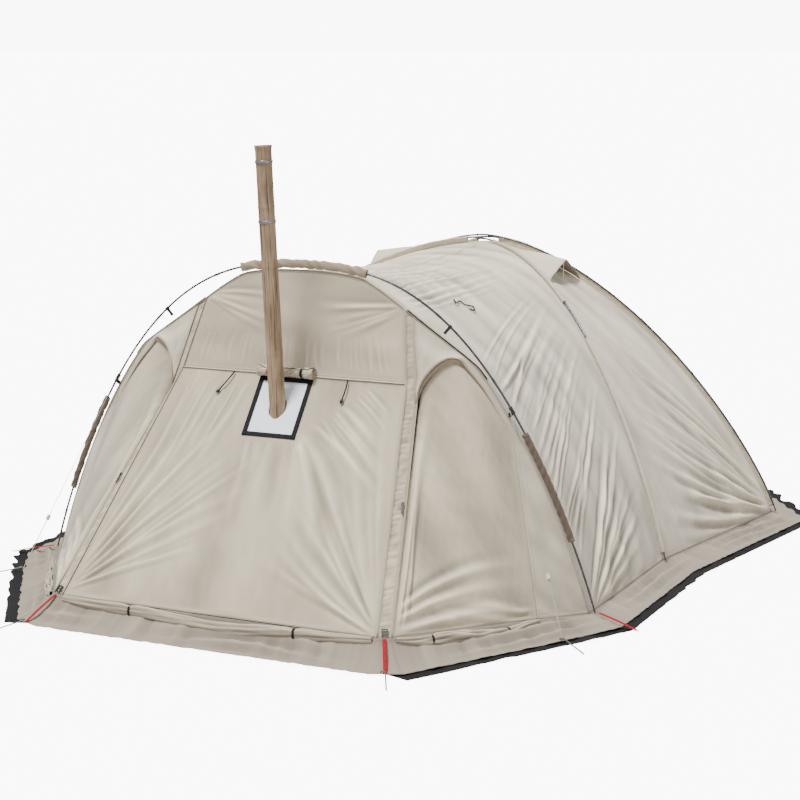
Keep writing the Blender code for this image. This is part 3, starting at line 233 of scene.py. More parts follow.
@dataclass
class TentLines:
    """Seams, pole lines and edges that every sub-assembly shares, in metres."""

    hoop_height: float = 1.65
    hoop_half_width: float = 1.53
    hoop_setback: float = 2.40
    hoop_lean: float = 0.05
    front_depth: float = 0.94
    dome_height: float = 1.555
    side_foot: tuple = (1.83, 0.0)
    front_foot: tuple = (1.56, -1.31)
    rear_foot: tuple = (1.17, 0.98)
    fly_drop: float = 0.03
    edge_sag: float = 0.055
    ridge_sag: float = 0.07
    hem_height: float = 0.04
    foot_height: float = 0.05
    skirt_width: float = 0.18
    skirt_foot: float = 0.0065
    crown_radius: float = 0.11
    crown_clearance: float = 0.014
    door_lowered: tuple = (0.0, 0.02, -0.028)
    rim_width: float = 0.035
    rim_setback: float = -0.012
    pole_points: int = 25
    shoulder_share: float = 0.25
    strip_share: float = 0.275
    corner: tuple = (0.5425, -1.0, 0.0727)
    seam: tuple = (0.3987, -0.1383, 0.6788)
    strip_foot: tuple = (0.5817, -0.9734, 0.0727)
    hinge_foot: tuple = (0.8693, -0.2415, 0.0424)
    arch: tuple = (
        (0.4379, -0.1489, 0.6242), (0.4477, -0.1277, 0.6788), (0.4804, -0.0851, 0.7273),
        (0.5163, -0.0585, 0.7515), (0.5359, -0.0426, 0.7533), (0.5500, -0.0106, 0.7424),
    )
    shoulder_shares: tuple = (0.432, 0.48, 0.52, 0.565, 0.615)

    def spot(self, shares: Point, side: float = 1.0) -> Array:
        """Return a vestibule place from shares of half width, front depth and hoop height.

        Args:
            shares: Shares of half width, front depth and hoop height.
            side: 1 on the right, -1 on the left.

        Returns:
            The place in metres.
        """
        return np.array((
            side * shares[0] * self.hoop_half_width,
            shares[1] * self.front_depth - self.hoop_setback,
            shares[2] * self.hoop_height,
        ))

    def hoop_curve(self, low: float, drop: float = 0.0) -> Array:
        """Return half the hoop on +X from the apex down, dropped inside the pole by drop.

        Args:
            low: Height at which the curve stops.
            drop: How far inside the pole's line it lies.

        Returns:
            Rows of points.
        """
        arc = PoleArc(self.hoop_half_width - drop, self.hoop_height - drop, 2.6, 0.92).half(low)
        lean = self.hoop_lean * (1.0 - arc[:, 1] / self.hoop_height)
        return np.column_stack((arc[:, 0], lean - self.hoop_setback, arc[:, 1]))

    @cached_property
    def hoop_half(self) -> Array:
        """The hoop pole's centre line on +X, as the model's short straight runs."""
        return stretch_of(self.hoop_curve(self.foot_height), count=self.pole_points)

    @cached_property
    def fly_edge(self) -> Array:
        """The fly's edge under the right half of the hoop, which sags away from it halfway."""
        path = stretch_of(self.hoop_curve(self.hem_height, self.fly_drop), count=97)
        share = np.linspace(0.0, 1.0, len(path))
        inside = np.clip((share - 0.14) / 0.31, 0.0, 1.0)
        inward = rows_unit(np.cross(np.gradient(path, axis=0), Y_AXIS))
        inward *= np.where(inward[:, 2] > 0.0, -1.0, 1.0)[:, None]
        return path + inward * (self.edge_sag * np.sin(math.pi * inside))[:, None]

    def dome_arm(self, foot: Point, low: float, drop: float = 0.0, first: float = 0.0) -> Array:
        """Return one arm of a dome pole, from near the crown out to a foot.

        Args:
            foot: The foot's place on the ground.
            low: Height at which the arm stops.
            drop: How far it lies inside the pole's line.
            first: Distance from the crown at which it starts.

        Returns:
            Rows of points.
        """
        reach = math.hypot(*foot)
        power = (1.7, 0.80) if foot[1] == 0.0 else ((1.8, 0.85) if foot[1] > 0.0 else (2.1, 0.85))
        arc = PoleArc(reach - drop, self.dome_height - drop, *power).half(low, first)
        return np.column_stack((arc[:, 0] * foot[0] / reach, arc[:, 0] * foot[1] / reach, arc[:, 1]))

    def fly_arm(self, foot: Point, side: float = 1.0) -> Array:
        """Return the fly's seam under one dome pole arm, from the crown patch to the hem."""
        start = self.crown_radius + self.crown_clearance
        return mirrored(self.dome_arm(foot, self.hem_height, self.fly_drop, start), side)

    def corner_points(self, side: float) -> tuple[Array, Array, Array]:
        """Return the front panel's corner and seam end, and its shoulder on the fly edge."""
        shoulder = mirrored(along(self.fly_edge, self.shoulder_share), side)[0]
        return self.spot(self.corner, side), self.spot(self.seam, side), shoulder

    def strip_points(self, side: float) -> tuple[Array, Array, Array]:
        """Return the corner strip's outer foot, the arch's lower end, and its top."""
        top = mirrored(along(self.fly_edge, self.strip_share), side)[0]
        return self.spot(self.strip_foot, side), self.spot(self.arch[0], side), top

    def edge_inset(self, share: float, width: float) -> Array:
        """Return the place at a share of the fly edge, moved into the wall by a width.

        Args:
            share: A share of the fly edge's length.
            width: How far to move it.

        Returns:
            The place in metres.
        """
        here, ahead = along(self.fly_edge, (share, share + 0.01))
        inward = turned(unit(np.cross(ahead - here, Y_AXIS)), -UP)
        return here + inward * width + Y_AXIS * self.rim_setback

    def shoulder_points(self, side: float) -> list[Array]:
        """Return the rim's run beside the fly edge, down to the hinge's top."""
        return [mirrored(self.edge_inset(share, self.rim_width), side) for share in self.shoulder_shares]

    def door_rim(self, side: float) -> Array:
        """Return the fixed rim round a side door, over the arch and down to the hinge's foot.

        Args:
            side: 1 on the right, -1 on the left.

        Returns:
            Rows of points.
        """
        arch = [self.spot(shares, side) for shares in self.arch]
        curve = smooth_path((*arch, *self.shoulder_points(side)), 97)
        return np.vstack((curve, self.spot(self.hinge_foot, side)[None]))

    def door_edges(self, side: float) -> tuple[Array, Array, Array, Array]:
        """Return the door leaf's bottom, top, front and rear edges.

        Args:
            side: 1 on the right, -1 on the left.

        Returns:
            Four paths, the first two rearward and the last two upward.
        """
        foot = self.strip_points(side)[0]
        lowered = np.array(self.door_lowered)
        arch = [self.spot(shares, side) + lowered for shares in self.arch]
        shoulder = self.shoulder_points(side)
        fade = np.linspace(1.0, 0.0, len(shoulder)) ** 2
        rear = smooth_path([point + lowered * share for point, share in zip(shoulder, fade)], 33)
        rear = np.vstack((rear, self.spot(self.hinge_foot, side)[None]))[::-1]
        top = np.vstack((smooth_path(arch, 49), rear[-1][None]))
        return line(foot, rear[0]), top, line(foot, arch[0]), rear

    @cached_property
    def hem(self) -> Array:
        """The hem's corners round the tent, from the front right corner by way of the back."""
        right = [self.spot(place) for place in (self.corner, self.strip_foot, self.hinge_foot)]
        right += [self.fly_edge[-1]]
        right += [self.fly_arm(foot)[-1] for foot in (self.front_foot, self.side_foot, self.rear_foot)]
        return np.array(right + [mirrored(point, -1.0) for point in reversed(right)])

    def outset(self, widths: Array, height: float) -> Array:
        """Return the hem's corners moved outward by a width each, at one height.

        Args:
            widths: A width for each corner.
            height: Their height.

        Returns:
            The moved corners.
        """
        flat = self.hem[:, :2]
        ahead = rows_unit(np.roll(flat, -1, axis=0) - flat)
        normal = np.column_stack((ahead[:, 1], -ahead[:, 0]))
        mitre = normal + np.roll(normal, 1, axis=0)
        mitre /= (mitre * normal).sum(axis=1)[:, None]
        moved = flat + mitre * np.asarray(widths)[:, None]
        return np.column_stack((moved, np.full(len(moved), height)))

    @cached_property
    def skirt_rim(self) -> Array:
        """The skirts' outer corners on the groundsheet."""
        return self.outset(np.full(len(self.hem), self.skirt_width), self.skirt_foot)

    @property
    def vestibule_heart(self) -> Array:
        """A point inside the vestibule, used to tell in from out."""
        return np.array((0.0, -self.hoop_setback, self.hoop_height / 3.0))

    @property
    def dome_heart(self) -> Array:
        """A point inside the dome, used to tell in from out."""
        return np.array((0.0, 0.0, self.dome_height / 3.0))

    def tunnel_heart(self, points: Array) -> Array:
        """Return, for each point, the place on the tent's long axis abreast of it."""
        return points * Y_AXIS + self.dome_heart


LINES = TentLines()


# Folds in cloth


def handed(facing: Array) -> float:
    """Return -1 for cloth that faces left, so that the tent's two halves fold as mirror images."""
    return -1.0 if facing[0] < -0.05 else 1.0


@dataclass(frozen=True)
class Ripple:
    """A soft unevenness, long along one direction and short across it."""

    depth: float
    size: float
    grain: Point = (0.0, 0.0, 1.0)
    stretch: float = 2.5
    seed: int = 3
    waves: int = 14

    def height(self, points: Array, facing: Array) -> Array:
        """Work out the unevenness: a sum of sines whose directions and lengths vary about size.

        Args:
            points: Rows of points on the cloth.
            facing: The cloth's mean outward normal.

        Returns:
            A height in metres for each point.
        """
        random = np.random.default_rng(self.seed)
        ahead = np.asarray(self.grain, dtype=float)
        ahead = unit(ahead - facing * (ahead @ facing))
        across = np.cross(facing, ahead) * handed(facing)
        flat = np.column_stack((points @ across, points @ ahead / self.stretch))
        total = np.zeros(len(points))
        for _ in range(self.waves):
            angle = random.uniform(0.0, math.pi)
            wave = FULL_TURN / (self.size * random.uniform(0.6, 1.9))
            shift = random.uniform(0.0, FULL_TURN)
            total += np.sin(wave * (flat @ np.array((math.cos(angle), math.sin(angle)))) + shift)
        return self.depth * total / math.sqrt(self.waves / 2.0) * 0.7


@dataclass(frozen=True)
class Pulls:
    """Single tension folds, each a ridge that runs from one line of places towards another."""

    starts: Sequence[Point]
    ends: Sequence[Point]
    count: int
    depth: float
    width: float
    bow: float = 0.05
    widen: float = 1.6
    seed: int = 5

    def height(self, points: Array, facing: Array) -> Array:
        """Work out the folds' height.

        Each fold's line bows sideways as a parabola. Across it a crest stands between two
        troughs, all bell curves of the distance over a width that grows along the fold. It
        rises over the first eighth of the line and dies out towards its end.

        Args:
            points: Rows of points on the cloth.
            facing: The cloth's mean outward normal.

        Returns:
            A height in metres for each point.
        """
        random = np.random.default_rng(self.seed)
        places = (np.arange(self.count) + random.uniform(0.1, 0.9, self.count)) / self.count
        total = np.zeros(len(points))
        for first, last in zip(along(line(*self.starts), places), along(line(*self.ends), places)):
            run = last - first
            length = float(np.linalg.norm(run))
            ahead = unit(run - facing * (run @ facing))
            away = points - first
            share = away @ ahead / length
            bend = self.bow * length * random.uniform(-0.3, 1.0) * 4.0 * share * (1.0 - share)
            wide = self.width * random.uniform(0.6, 1.4) * (1.0 + self.widen * np.clip(share, 0.0, 1.0))
            cross = (away @ np.cross(facing, ahead) * handed(facing) - bend) / wide
            end = random.uniform(0.75, 1.05)
            taper = smoothstep(share / 0.12) * smoothstep((end - share) / (end * 0.65))
            taper = taper * np.clip(0.40 + 2.4 * share, 0.0, 1.0)
            crest = np.exp(-np.abs(cross) ** 1.5) - 0.5 * np.exp(-((cross - 1.6) ** 2))
            crest = crest - 0.3 * np.exp(-((cross + 1.6) ** 2))
            total += 1.6 * self.depth * random.uniform(0.45, 1.1) * crest * taper
        return total


Folds = Sequence[Ripple | Pulls]


# Mesh making


def linked(name: str, data: bpy.types.ID) -> Item:
    """Add an object to the scene.

    Args:
        name: The object's name.
        data: Its mesh, curve, camera or light.

    Returns:
        The object.
    """
    item = bpy.data.objects.new(name, data)
    bpy.context.scene.collection.objects.link(item)
    return item


def paired(first: Array | float, second: Array | float) -> Array:
    """Make two arrays the two coordinates of a UV map, brought to one shape."""
    return np.stack(np.broadcast_arrays(first, second), axis=-1)


def grid_shares(columns: int, rows: int) -> list[Array]:
    """Return the shares across and up at the corners of a grid's cells."""
    return np.meshgrid(np.linspace(0.0, 1.0, columns + 1), np.linspace(0.0, 1.0, rows + 1))


@dataclass
class GridMesh:
    """A mesh made from a grid of points, open, wrapped round or capped."""

    name: str
    points: Array
    wrap_u: bool = False
    cap_v: bool = False
    uv: Optional[tuple[Array, Array]] = None
    relief: Optional[Array] = None
    flip: bool = False
    smooth: bool = True

    def build(self) -> Item:
        """Make the object.

        Rows run along v and columns along u, so a quad takes a point, its right neighbour, and
        the two above them.

        Returns:
            The object, linked to the scene, with UV maps in metres where uv is given.
        """
        rows, columns = self.points.shape[:2]
        index = np.arange(rows * columns).reshape(rows, columns)
        right = np.roll(index, -1, axis=1) if self.wrap_u else index[:, 1:]
        here = index if self.wrap_u else index[:, :-1]
        quads = np.stack((here[:-1], right[:-1], right[1:], here[1:]), axis=-1).reshape(-1, 4)
        faces = (quads[:, ::-1] if self.flip else quads).tolist()
        if self.cap_v:
            faces += [index[0][::-1].tolist(), index[-1].tolist()]
        mesh = bpy.data.meshes.new(self.name)
        mesh.from_pydata(self.points.reshape(-1, 3).tolist(), [], faces)
        if self.uv is not None:
            corners = np.empty(len(mesh.loops), dtype=np.int32)
            mesh.loops.foreach_get("vertex_index", corners)
            for layer, values in zip(("cloth", "edge"), self.uv):
                flat = values.reshape(-1, 2)[corners].astype(np.float32)
                mesh.uv_layers.new(name=layer).data.foreach_set("uv", flat.ravel())
        if self.relief is not None:
            values = np.clip(self.relief, -1.0, 1.0).astype(np.float32).ravel()
            mesh.attributes.new("relief", "FLOAT", "POINT").data.foreach_set("value", values)
        if self.smooth:
            mesh.polygons.foreach_set("use_smooth", np.ones(len(mesh.polygons), dtype=bool))
        mesh.update()
        return linked(self.name, mesh)


def frames_along(path: Array, outward: Array) -> tuple[Array, Array]:
    """Find a side and a facing direction at each point of a path.

    Args:
        path: Rows of points.
        outward: The direction to face, one or one for each point, made square to the path here.

    Returns:
        The sideways and the outward unit directions.
    """
    ahead = rows_unit(np.gradient(path, axis=0))
    outward = np.broadcast_to(outward, path.shape)
    outward = rows_unit(outward - ahead * (outward * ahead).sum(axis=1)[:, None])
    return np.cross(ahead, outward), outward


def swept(name: str, path: Array, outward: Array, section: Array, scale: Optional[Array] = None,
          capped: bool = True, relief: Optional[Array] = None) -> Item:
    """Carry a closed section along a path.

    A point is the path's point, plus the side direction times the section's first coordinate,
    plus the outward direction times its second.

    Args:
        name: The object's name.
        path: Rows of points.
        outward: The direction that the section's second axis faces, one or one for each point.
        section: Rows of two coordinates in metres, anticlockwise.
        scale: A factor on the section, at each point or at each point and corner.
        capped: Whether its ends are closed.
        relief: How far each point stands above or below the mean surface, from -1 to 1.

    Returns:
        An object with its UV map in metres.
    """
    side, face = frames_along(path, outward)
    factor = np.ones(len(path)) if scale is None else np.asarray(scale)
    factor = factor.reshape(len(path), -1, 1)
    points = (
        path[:, None] + side[:, None] * (section[None, :, :1] * factor)
        + face[:, None] * (section[None, :, 1:] * factor)
    )
    reach = reach_of(path)[:, None]
    girth = reach_of(np.vstack((section, section[:1])))[:-1]
    uv = (paired(girth, reach), paired(section[:, 0], reach))
    return GridMesh(name, points, wrap_u=True, cap_v=capped, uv=uv, relief=relief).build()


def grid_area(points: Array) -> float:
    """Return a grid's area: half the cross product of each cell's diagonals, summed.

    Args:
        points: A grid of points in metres.

    Returns:
        The area in square metres.
    """
    first = points[1:, 1:] - points[:-1, :-1]
    second = points[1:, :-1] - points[:-1, 1:]
    return float(np.linalg.norm(np.cross(first, second), axis=2).sum() / 2.0)


def circle(radius: float, count: int) -> Array:
    """Return a ring of points."""
    angle = np.linspace(0.0, FULL_TURN, count, endpoint=False)
    return np.column_stack((np.cos(angle), np.sin(angle))) * radius


def slab(width: float, thickness: float) -> Array:
    """Return a flat band's section with rounded sides, anticlockwise.

    Args:
        width: The band's width.
        thickness: Its thickness.

    Returns:
        Rows of places across and outward.
    """
    half, radius = width / 2.0 - thickness / 2.0, thickness / 2.0
    turn = np.linspace(-math.pi / 2.0, math.pi / 2.0, 5)
    right = np.column_stack((half + radius * np.cos(turn), radius * np.sin(turn)))
    return np.vstack((right, -right))


def lathe(name: str, profile: Array, axis: Matrix, segments: int = 72) -> Item:
    """Turn a closed profile about an axis.

    Args:
        name: The object's name.
        profile: Rows of radius and height in metres, closed from the last row to the first.
        axis: The matrix whose Z is the axis.
        segments: Steps round the turn.

    Returns:
        A closed ring object whose UV map is the arc length round and along.
    """
    radius, height = np.vstack((profile, profile[:1])).T[..., None]
    angle = np.linspace(0.0, FULL_TURN, segments + 1)
    local = np.stack(np.broadcast_arrays(radius * np.cos(angle), radius * np.sin(angle), height), axis=-1)
    points = local @ np.array(axis.to_3x3()).T + np.array(axis.translation)
    cloth = paired(angle * float(profile[:, 0].mean()), height)
    item = GridMesh(name, points, uv=(cloth, cloth)).build()
    close_up(item)
    return item


@contextmanager
def mesh_work(item: Item) -> Iterator[bmesh.types.BMesh]:
    """Open an object's mesh for editing, and write it back afterwards.

    Args:
        item: The object.

    Yields:
        Its mesh, open for editing.
    """
    work = bmesh.new()
    work.from_mesh(item.data)
    work.verts.ensure_lookup_table()
    yield work
    work.to_mesh(item.data)
    work.free()
    item.data.update()


def close_up(item: Item) -> None:
    """Merge doubles and make the directions of the faces agree.

    Args:
        item: The object.
    """
    with mesh_work(item) as work:
        bmesh.ops.remove_doubles(work, verts=work.verts, dist=1e-5)
        bmesh.ops.recalc_face_normals(work, faces=work.faces)


def face_toward(item: Item, toward: Array = UP) -> None:
    """Turn a mesh's faces round where the middle one looks against a direction.

    Args:
        item: The object.
        toward: The direction that its faces should look.
    """
    faces = item.data.polygons
    if np.array(faces[len(faces) // 2].normal) @ toward < 0.0:
        item.data.flip_normals()


def wall(item: Item, thickness: float = 0.0015) -> None:
    """Give an open sheet a wall on its inner side.

    Args:
        item: The sheet.
        thickness: The wall's thickness.
    """
    change = item.modifiers.new("wall", "SOLIDIFY")
    change.thickness = thickness
    change.offset = -1.0
    change.use_even_offset = False
    change.use_rim = True


# Shader building


class Graph:
    """A short hand for building node trees."""

    def __init__(self, tree: bpy.types.NodeTree) -> None:
        """Keep the tree that nodes are added to."""
        self.tree = tree

    def feed(self, inputs: bpy.types.NodeInputs, values: dict) -> None:
        """Link a socket to each named input, or set its constant.

        Args:
            inputs: A node's inputs.
            values: A socket or a constant for each input.
        """
        for place, value in values.items():
            if isinstance(value, Socket):
                self.tree.links.new(value, inputs[place])
            else:
                inputs[place].default_value = value

    def node(self, kind: str, values: Optional[dict] = None, **settings: object) -> bpy.types.NodeOutputs:
        """Add a node with its settings and its inputs' values, and return its outputs.

        Args:
            kind: The node's type, without its prefix.
            values: A socket or a constant for each input.
            settings: Its properties.

        Returns:
            Its outputs.
        """
        item = self.tree.nodes.new("ShaderNode" + kind)
        for name, value in settings.items():
            setattr(item, name, value)
        self.feed(item.inputs, values or {})
        return item.outputs

    def math(self, operation: str, first: object, second: object = 0.0, clamp: bool = False) -> Socket:
        """Combine two values."""
        return self.node("Math", {0: first, 1: second}, operation=operation, use_clamp=clamp)[0]

    def times(self, first: object, second: object) -> Socket:
        """Multiply two values."""
        return self.math("MULTIPLY", first, second)

    def plus(self, base: object, value: object, factor: float) -> Socket:
        """Add a value times a factor."""
        return self.math("ADD", base, self.times(value, factor))

    def mix(self, share: object, first: object, second: object) -> Socket:
        """Blend two colours by a share."""
        return self.node("Mix", {0: share, 6: first, 7: second}, data_type="RGBA")[2]

    def scaled(self, colour: object, factor: object) -> Socket:
        """Multiply a colour by a value."""
        return self.node("VectorMath", {0: colour, "Scale": factor}, operation="SCALE")[0]

    def ramp(self, value: object, low: float, high: float, first: float = 0.0, last: float = 1.0) -> Socket:
        """Map a value from one range to another, clamped."""
        return self.node("MapRange", {0: value, 1: low, 2: high, 3: first, 4: last}, clamp=True)[0]

    def noise(self, vector: object, scale: object, detail: float = 3.0, roughness: float = 0.55) -> Socket:
        """Return a noise value over a vector."""
        values = {"Vector": vector, "Scale": scale, "Detail": detail, "Roughness": roughness}
        return self.node("TexNoise", values)[0]

    def stretched(self, vector: object, scale: Point) -> Socket:
        """Scale a vector along its axes."""
        return self.node("Mapping", {"Vector": vector, "Scale": scale})[0]

    def part(self, vector: object, axis: int) -> Socket:
        """Return one coordinate of a vector."""
        return self.node("SeparateXYZ", {0: vector})[axis]

    def spot(self) -> Socket:
        """Return the place on the object."""
        return self.node("TexCoord")["Object"]

    def layer(self, name: str) -> Socket:
        """Return the place in one of the mesh's own UV maps."""
        return self.node("UVMap", uv_map=name)[0]

    def bump(self, height: object, strength: float, distance: float) -> Socket:
        """Return the normal that a height gives."""
        return self.node("Bump", {"Height": height, "Strength": strength, "Distance": distance})[0]


def start_group(name: str, takes: dict, gives: Sequence[str]) -> tuple[Graph, Sequence, Sequence]:
    """Create a shader group.

    Args:
        name: Its name.
        takes: The value of each input, or None for a vector.
        gives: The names of its outputs, which are all values.

    Returns:
        Its graph, the sockets that bring its inputs and the sockets that take its outputs.
    """
    tree = bpy.data.node_groups.new(name, "ShaderNodeTree")
    for label, value in takes.items():
        kind = "NodeSocketVector" if value is None else "NodeSocketFloat"
        socket = tree.interface.new_socket(name=label, in_out="INPUT", socket_type=kind)
        if value is not None:
            socket.default_value = value
    for label in gives:
        tree.interface.new_socket(name=label, in_out="OUTPUT", socket_type="NodeSocketFloat")
    return Graph(tree), tree.nodes.new("NodeGroupInput").outputs, tree.nodes.new("NodeGroupOutput").inputs


class SharedEffects:
    """Shader groups that more than one finish uses, each built once."""

    @cached_property
    def weave(self) -> bpy.types.NodeTree:
        """Over and under threads: the product of two sines, with slubs from noise."""
        graph, entry, leave = start_group("canvas_weave", {"Vector": None, "Threads": 900.0}, ("Height", "Slub"))
        across, upward = (
            graph.math("SINE", graph.times(graph.part(entry["Vector"], axis), entry["Threads"])) for axis in (0, 1)
        )
        slub = graph.noise(graph.stretched(entry["Vector"], (220.0, 9.0, 1.0)), 1.0, 2.0)
        graph.feed(leave, {"Height": graph.times(across, upward), "Slub": slub})
        return graph.tree

    @cached_property
    def creases(self) -> bpy.types.NodeTree:
        """Fine creases left by packing: thin lines where a noise crosses its middle."""
        graph, entry, leave = start_group("packed_creases", {"Vector": None}, ("Height", "Line"))
        broad = graph.noise(graph.stretched(entry["Vector"], (7.0, 2.6, 1.0)), 1.0, 4.0, 0.6)
        small = graph.noise(graph.stretched(entry["Vector"], (26.0, 11.0, 1.0)), 1.0, 3.0, 0.5)
        thin = graph.ramp(graph.math("ABSOLUTE", graph.math("SUBTRACT", broad, 0.5)), 0.0, 0.03, 1.0, 0.0)
        thin = graph.times(thin, graph.ramp(graph.noise(entry["Vector"], 1.7, 2.0), 0.42, 0.62))
        height = graph.plus(graph.plus(broad, small, 0.25), thin, 0.14)
        graph.feed(leave, {"Height": height, "Line": thin})
        return graph.tree

    @cached_property
    def stitches(self) -> bpy.types.NodeTree:
        """Two rows of stitches beside an edge: dashes where the edge distance meets a row."""
        takes = {"Distance": 0.0, "Along": 0.0, "First Row": 0.005, "Second Row": 0.011}
        graph, entry, leave = start_group("twin_stitches", takes, ("Thread", "Seam"))
        dash = graph.ramp(graph.math("SINE", graph.times(entry["Along"], 1570.0)), -0.5, 0.1)
        rows = []
        for label in ("First Row", "Second Row"):
            gap = graph.math("ABSOLUTE", graph.math("SUBTRACT", entry["Distance"], entry[label]))
            rows.append(graph.ramp(gap, 0.0005, 0.0012, 1.0, 0.0))
        seam = graph.ramp(entry["Distance"], 0.012, 0.016, 1.0, 0.0)
        graph.feed(leave, {"Thread": graph.times(graph.math("MAXIMUM", *rows), dash), "Seam": seam})
        return graph.tree

    @cached_property
    def dust(self) -> bpy.types.NodeTree:
        """Ground dust: most near the ground, broken up by noise."""
        graph, entry, leave = start_group("ground_dust", {"Height": 0.35}, ("Mask", "Patch"))
        place = graph.spot()
        low = graph.math("SUBTRACT", 1.0, graph.math("DIVIDE", graph.part(place, 2), entry["Height"]), True)
        patch = graph.noise(place, 3.2, 5.0, 0.6)
        graph.feed(leave, {"Mask": graph.times(low, graph.ramp(patch, 0.35, 0.7)), "Patch": patch})
        return graph.tree

    @cached_property
    def scuffs(self) -> bpy.types.NodeTree:
        """Fine scratches and worn patches on hard parts."""
        graph, entry, leave = start_group("scuffs", {"Scale": 40.0}, ("Mask", "Height"))
        grain = graph.noise(graph.spot(), entry["Scale"], 6.0, 0.5)
        graph.feed(leave, {"Mask": graph.ramp(grain, 0.5, 0.72), "Height": grain})
        return graph.tree


EFFECTS = SharedEffects()


def principled(name: str) -> tuple[bpy.types.Material, Graph, bpy.types.NodeInputs]:
    """Start a material, and return it with its graph and its shader's inputs.

    Args:
        name: The material's name.

    Returns:
        The material, its graph and its shader's inputs.
    """
    material = bpy.data.materials.new(name)
    material.use_nodes = True
    return material, Graph(material.node_tree), material.node_tree.nodes["Principled BSDF"].inputs


def opaque(colour: Point, factor: float = 1.0) -> tuple:
    """Return a colour times a factor, with full alpha."""
    return (*(factor * part for part in colour), 1.0)


class Finish:
    """A surface finish, whose material is built on first use."""

    name: str
    slot: str

    def paint(self, graph: Graph) -> dict:
        """Return a value or a socket for each of the shader's inputs that the finish sets."""
        raise NotImplementedError

    def material(self) -> bpy.types.Material:
        """Build the node tree once, and return the material.

        Returns:
            The material.
        """
        name = self.name + "_finish"
        known = bpy.data.materials.get(name)
        if known is None:
            known, graph, inputs = principled(name)
            graph.feed(inputs, self.paint(graph))
        return known


@dataclass(frozen=True)
class ClothFinish(Finish):
    """Woven cloth: thread relief, creases, patches of darker tone, dust and stitched edges, with painted shade in fold
    hollows, painted light on fold crests and painted light on what faces up.
    """

    name: str
    colour: Point
    shade: Point
    slot: str
    roughness: float = 0.86
    sheen: float = 0.35
    weave: float = 0.12
    creases: float = 0.5
    dust: float = 0.5
    # Strength of the painted shade in fold hollows and of the painted light on fold crests.
    painted_fold_shading: float = 0.42
    # Strength of the painted light on faces that look up.
    painted_top_light: float = 0.28
    thread: Point = (0.42, 0.36, 0.28)
    soil: Point = (0.30, 0.25, 0.19)
    stitched: bool = True

    def paint(self, graph: Graph) -> dict:
        """Paint shade into fold hollows and light onto fold crests, paint light onto what faces up, dust what is low,
        and sew the edges.

        Args:
            graph: The material's graph.

        Returns:
            A value or a socket for each input of the shader that it sets.
        """
        cloth, shade = graph.layer("cloth"), opaque(self.shade)
        weave = graph.node("Group", {"Vector": cloth, "Threads": 5200.0}, node_tree=EFFECTS.weave)
        creases = graph.node("Group", {"Vector": cloth}, node_tree=EFFECTS.creases)
        dust = graph.node("Group", node_tree=EFFECTS.dust)
        tone = graph.ramp(dust["Patch"], 0.3, 0.7)
        colour = graph.mix(graph.times(tone, 0.55), opaque(self.colour), shade)
        colour = graph.mix(graph.ramp(weave["Slub"], 0.35, 0.75, 0.0, 0.16), colour, shade)
        colour = graph.mix(graph.times(creases["Line"], 0.10), colour, opaque(self.shade, 0.75))
        # Painted shade and highlight: the stored fold height darkens the hollows and lightens the crests.
        relief = graph.node("Attribute", attribute_name="relief")["Fac"]
        colour = graph.scaled(colour, graph.ramp(relief, -1.0, 1.0, 1.0 - self.painted_fold_shading, 1.0 + self.painted_fold_shading))
        # Painted light: faces that look up are lightened, as if lit from above.
        rise = graph.part(graph.node("NewGeometry")["Normal"], 2)
        colour = graph.scaled(colour, graph.ramp(rise, 0.55, 0.95, 1.0, 1.0 + self.painted_top_light))
        colour = graph.mix(graph.times(dust["Mask"], self.dust), colour, opaque(self.soil))
        height = graph.times(creases["Height"], self.creases * 0.012)
        height = graph.plus(height, weave["Height"], self.weave * 0.0004)
        if self.stitched:
            edge = graph.layer("edge")
            for place in (0, 1):
                values = {"Distance": graph.part(edge, place), "Along": graph.part(cloth, 1 - place)}
                stitch = graph.node("Group", values, node_tree=EFFECTS.stitches)
                colour = graph.mix(stitch["Thread"], colour, opaque(self.thread))
                height = graph.plus(graph.plus(height, stitch["Seam"], 0.0012), stitch["Thread"], 0.0006)
        return {
            "Base Color": colour, "Roughness": self.roughness, "Sheen Weight": self.sheen,
            "Sheen Roughness": 0.5, "Specular IOR Level": 0.25, "Normal": graph.bump(height, 1.0, 1.0),
        }


@dataclass(frozen=True)
class WebFinish(Finish):
    """Ribbed webbing or cord: diagonal ribs across the band, and fluff."""

    name: str
    colour: Point
    slot: str
    ribs: float = 2200.0
    roughness: float = 0.75
    sheen: float = 0.02

    def paint(self, graph: Graph) -> dict:
        """Rib the band and darken it in patches.

        Args:
            graph: The material's graph.

        Returns:
            A value or a socket for each input of the shader that it sets.
        """
        place = graph.spot()
        weave = graph.node("Group", {"Vector": place, "Threads": self.ribs}, node_tree=EFFECTS.weave)
        fluff = graph.ramp(graph.noise(place, 90.0, 4.0), 0.35, 0.7)
        return {
            "Base Color": graph.mix(fluff, opaque(self.colour), opaque(self.colour, 0.6)),
            "Roughness": self.roughness, "Sheen Weight": self.sheen, "Specular IOR Level": 0.2,
            "Normal": graph.bump(weave["Height"], 0.6, 0.0006),
        }


@dataclass(frozen=True)
class HardFinish(Finish):
    """Metal or plastic: one colour, worn patches and scratches."""

    name: str
    colour: Point
    worn: Point
    slot: str
    roughness: float = 0.4
    metallic: float = 0.0
    scale: float = 40.0
    wear: float = 0.35

    def paint(self, graph: Graph) -> dict:
        """Wear the colour through and roughen it by the same scuffs.

        Args:
            graph: The material's graph.

        Returns:
            A value or a socket for each input of the shader that it sets.
        """
        scuffs = graph.node("Group", {"Scale": self.scale}, node_tree=EFFECTS.scuffs)
        worn = graph.times(scuffs["Mask"], self.wear)
        rough = graph.math("ADD", graph.times(scuffs["Height"], 0.25), self.roughness - 0.12)
        return {
            "Base Color": graph.mix(worn, opaque(self.colour), opaque(self.worn)), "Roughness": rough,
            "Metallic": self.metallic, "Normal": graph.bump(scuffs["Height"], 0.15, 0.001),
        }


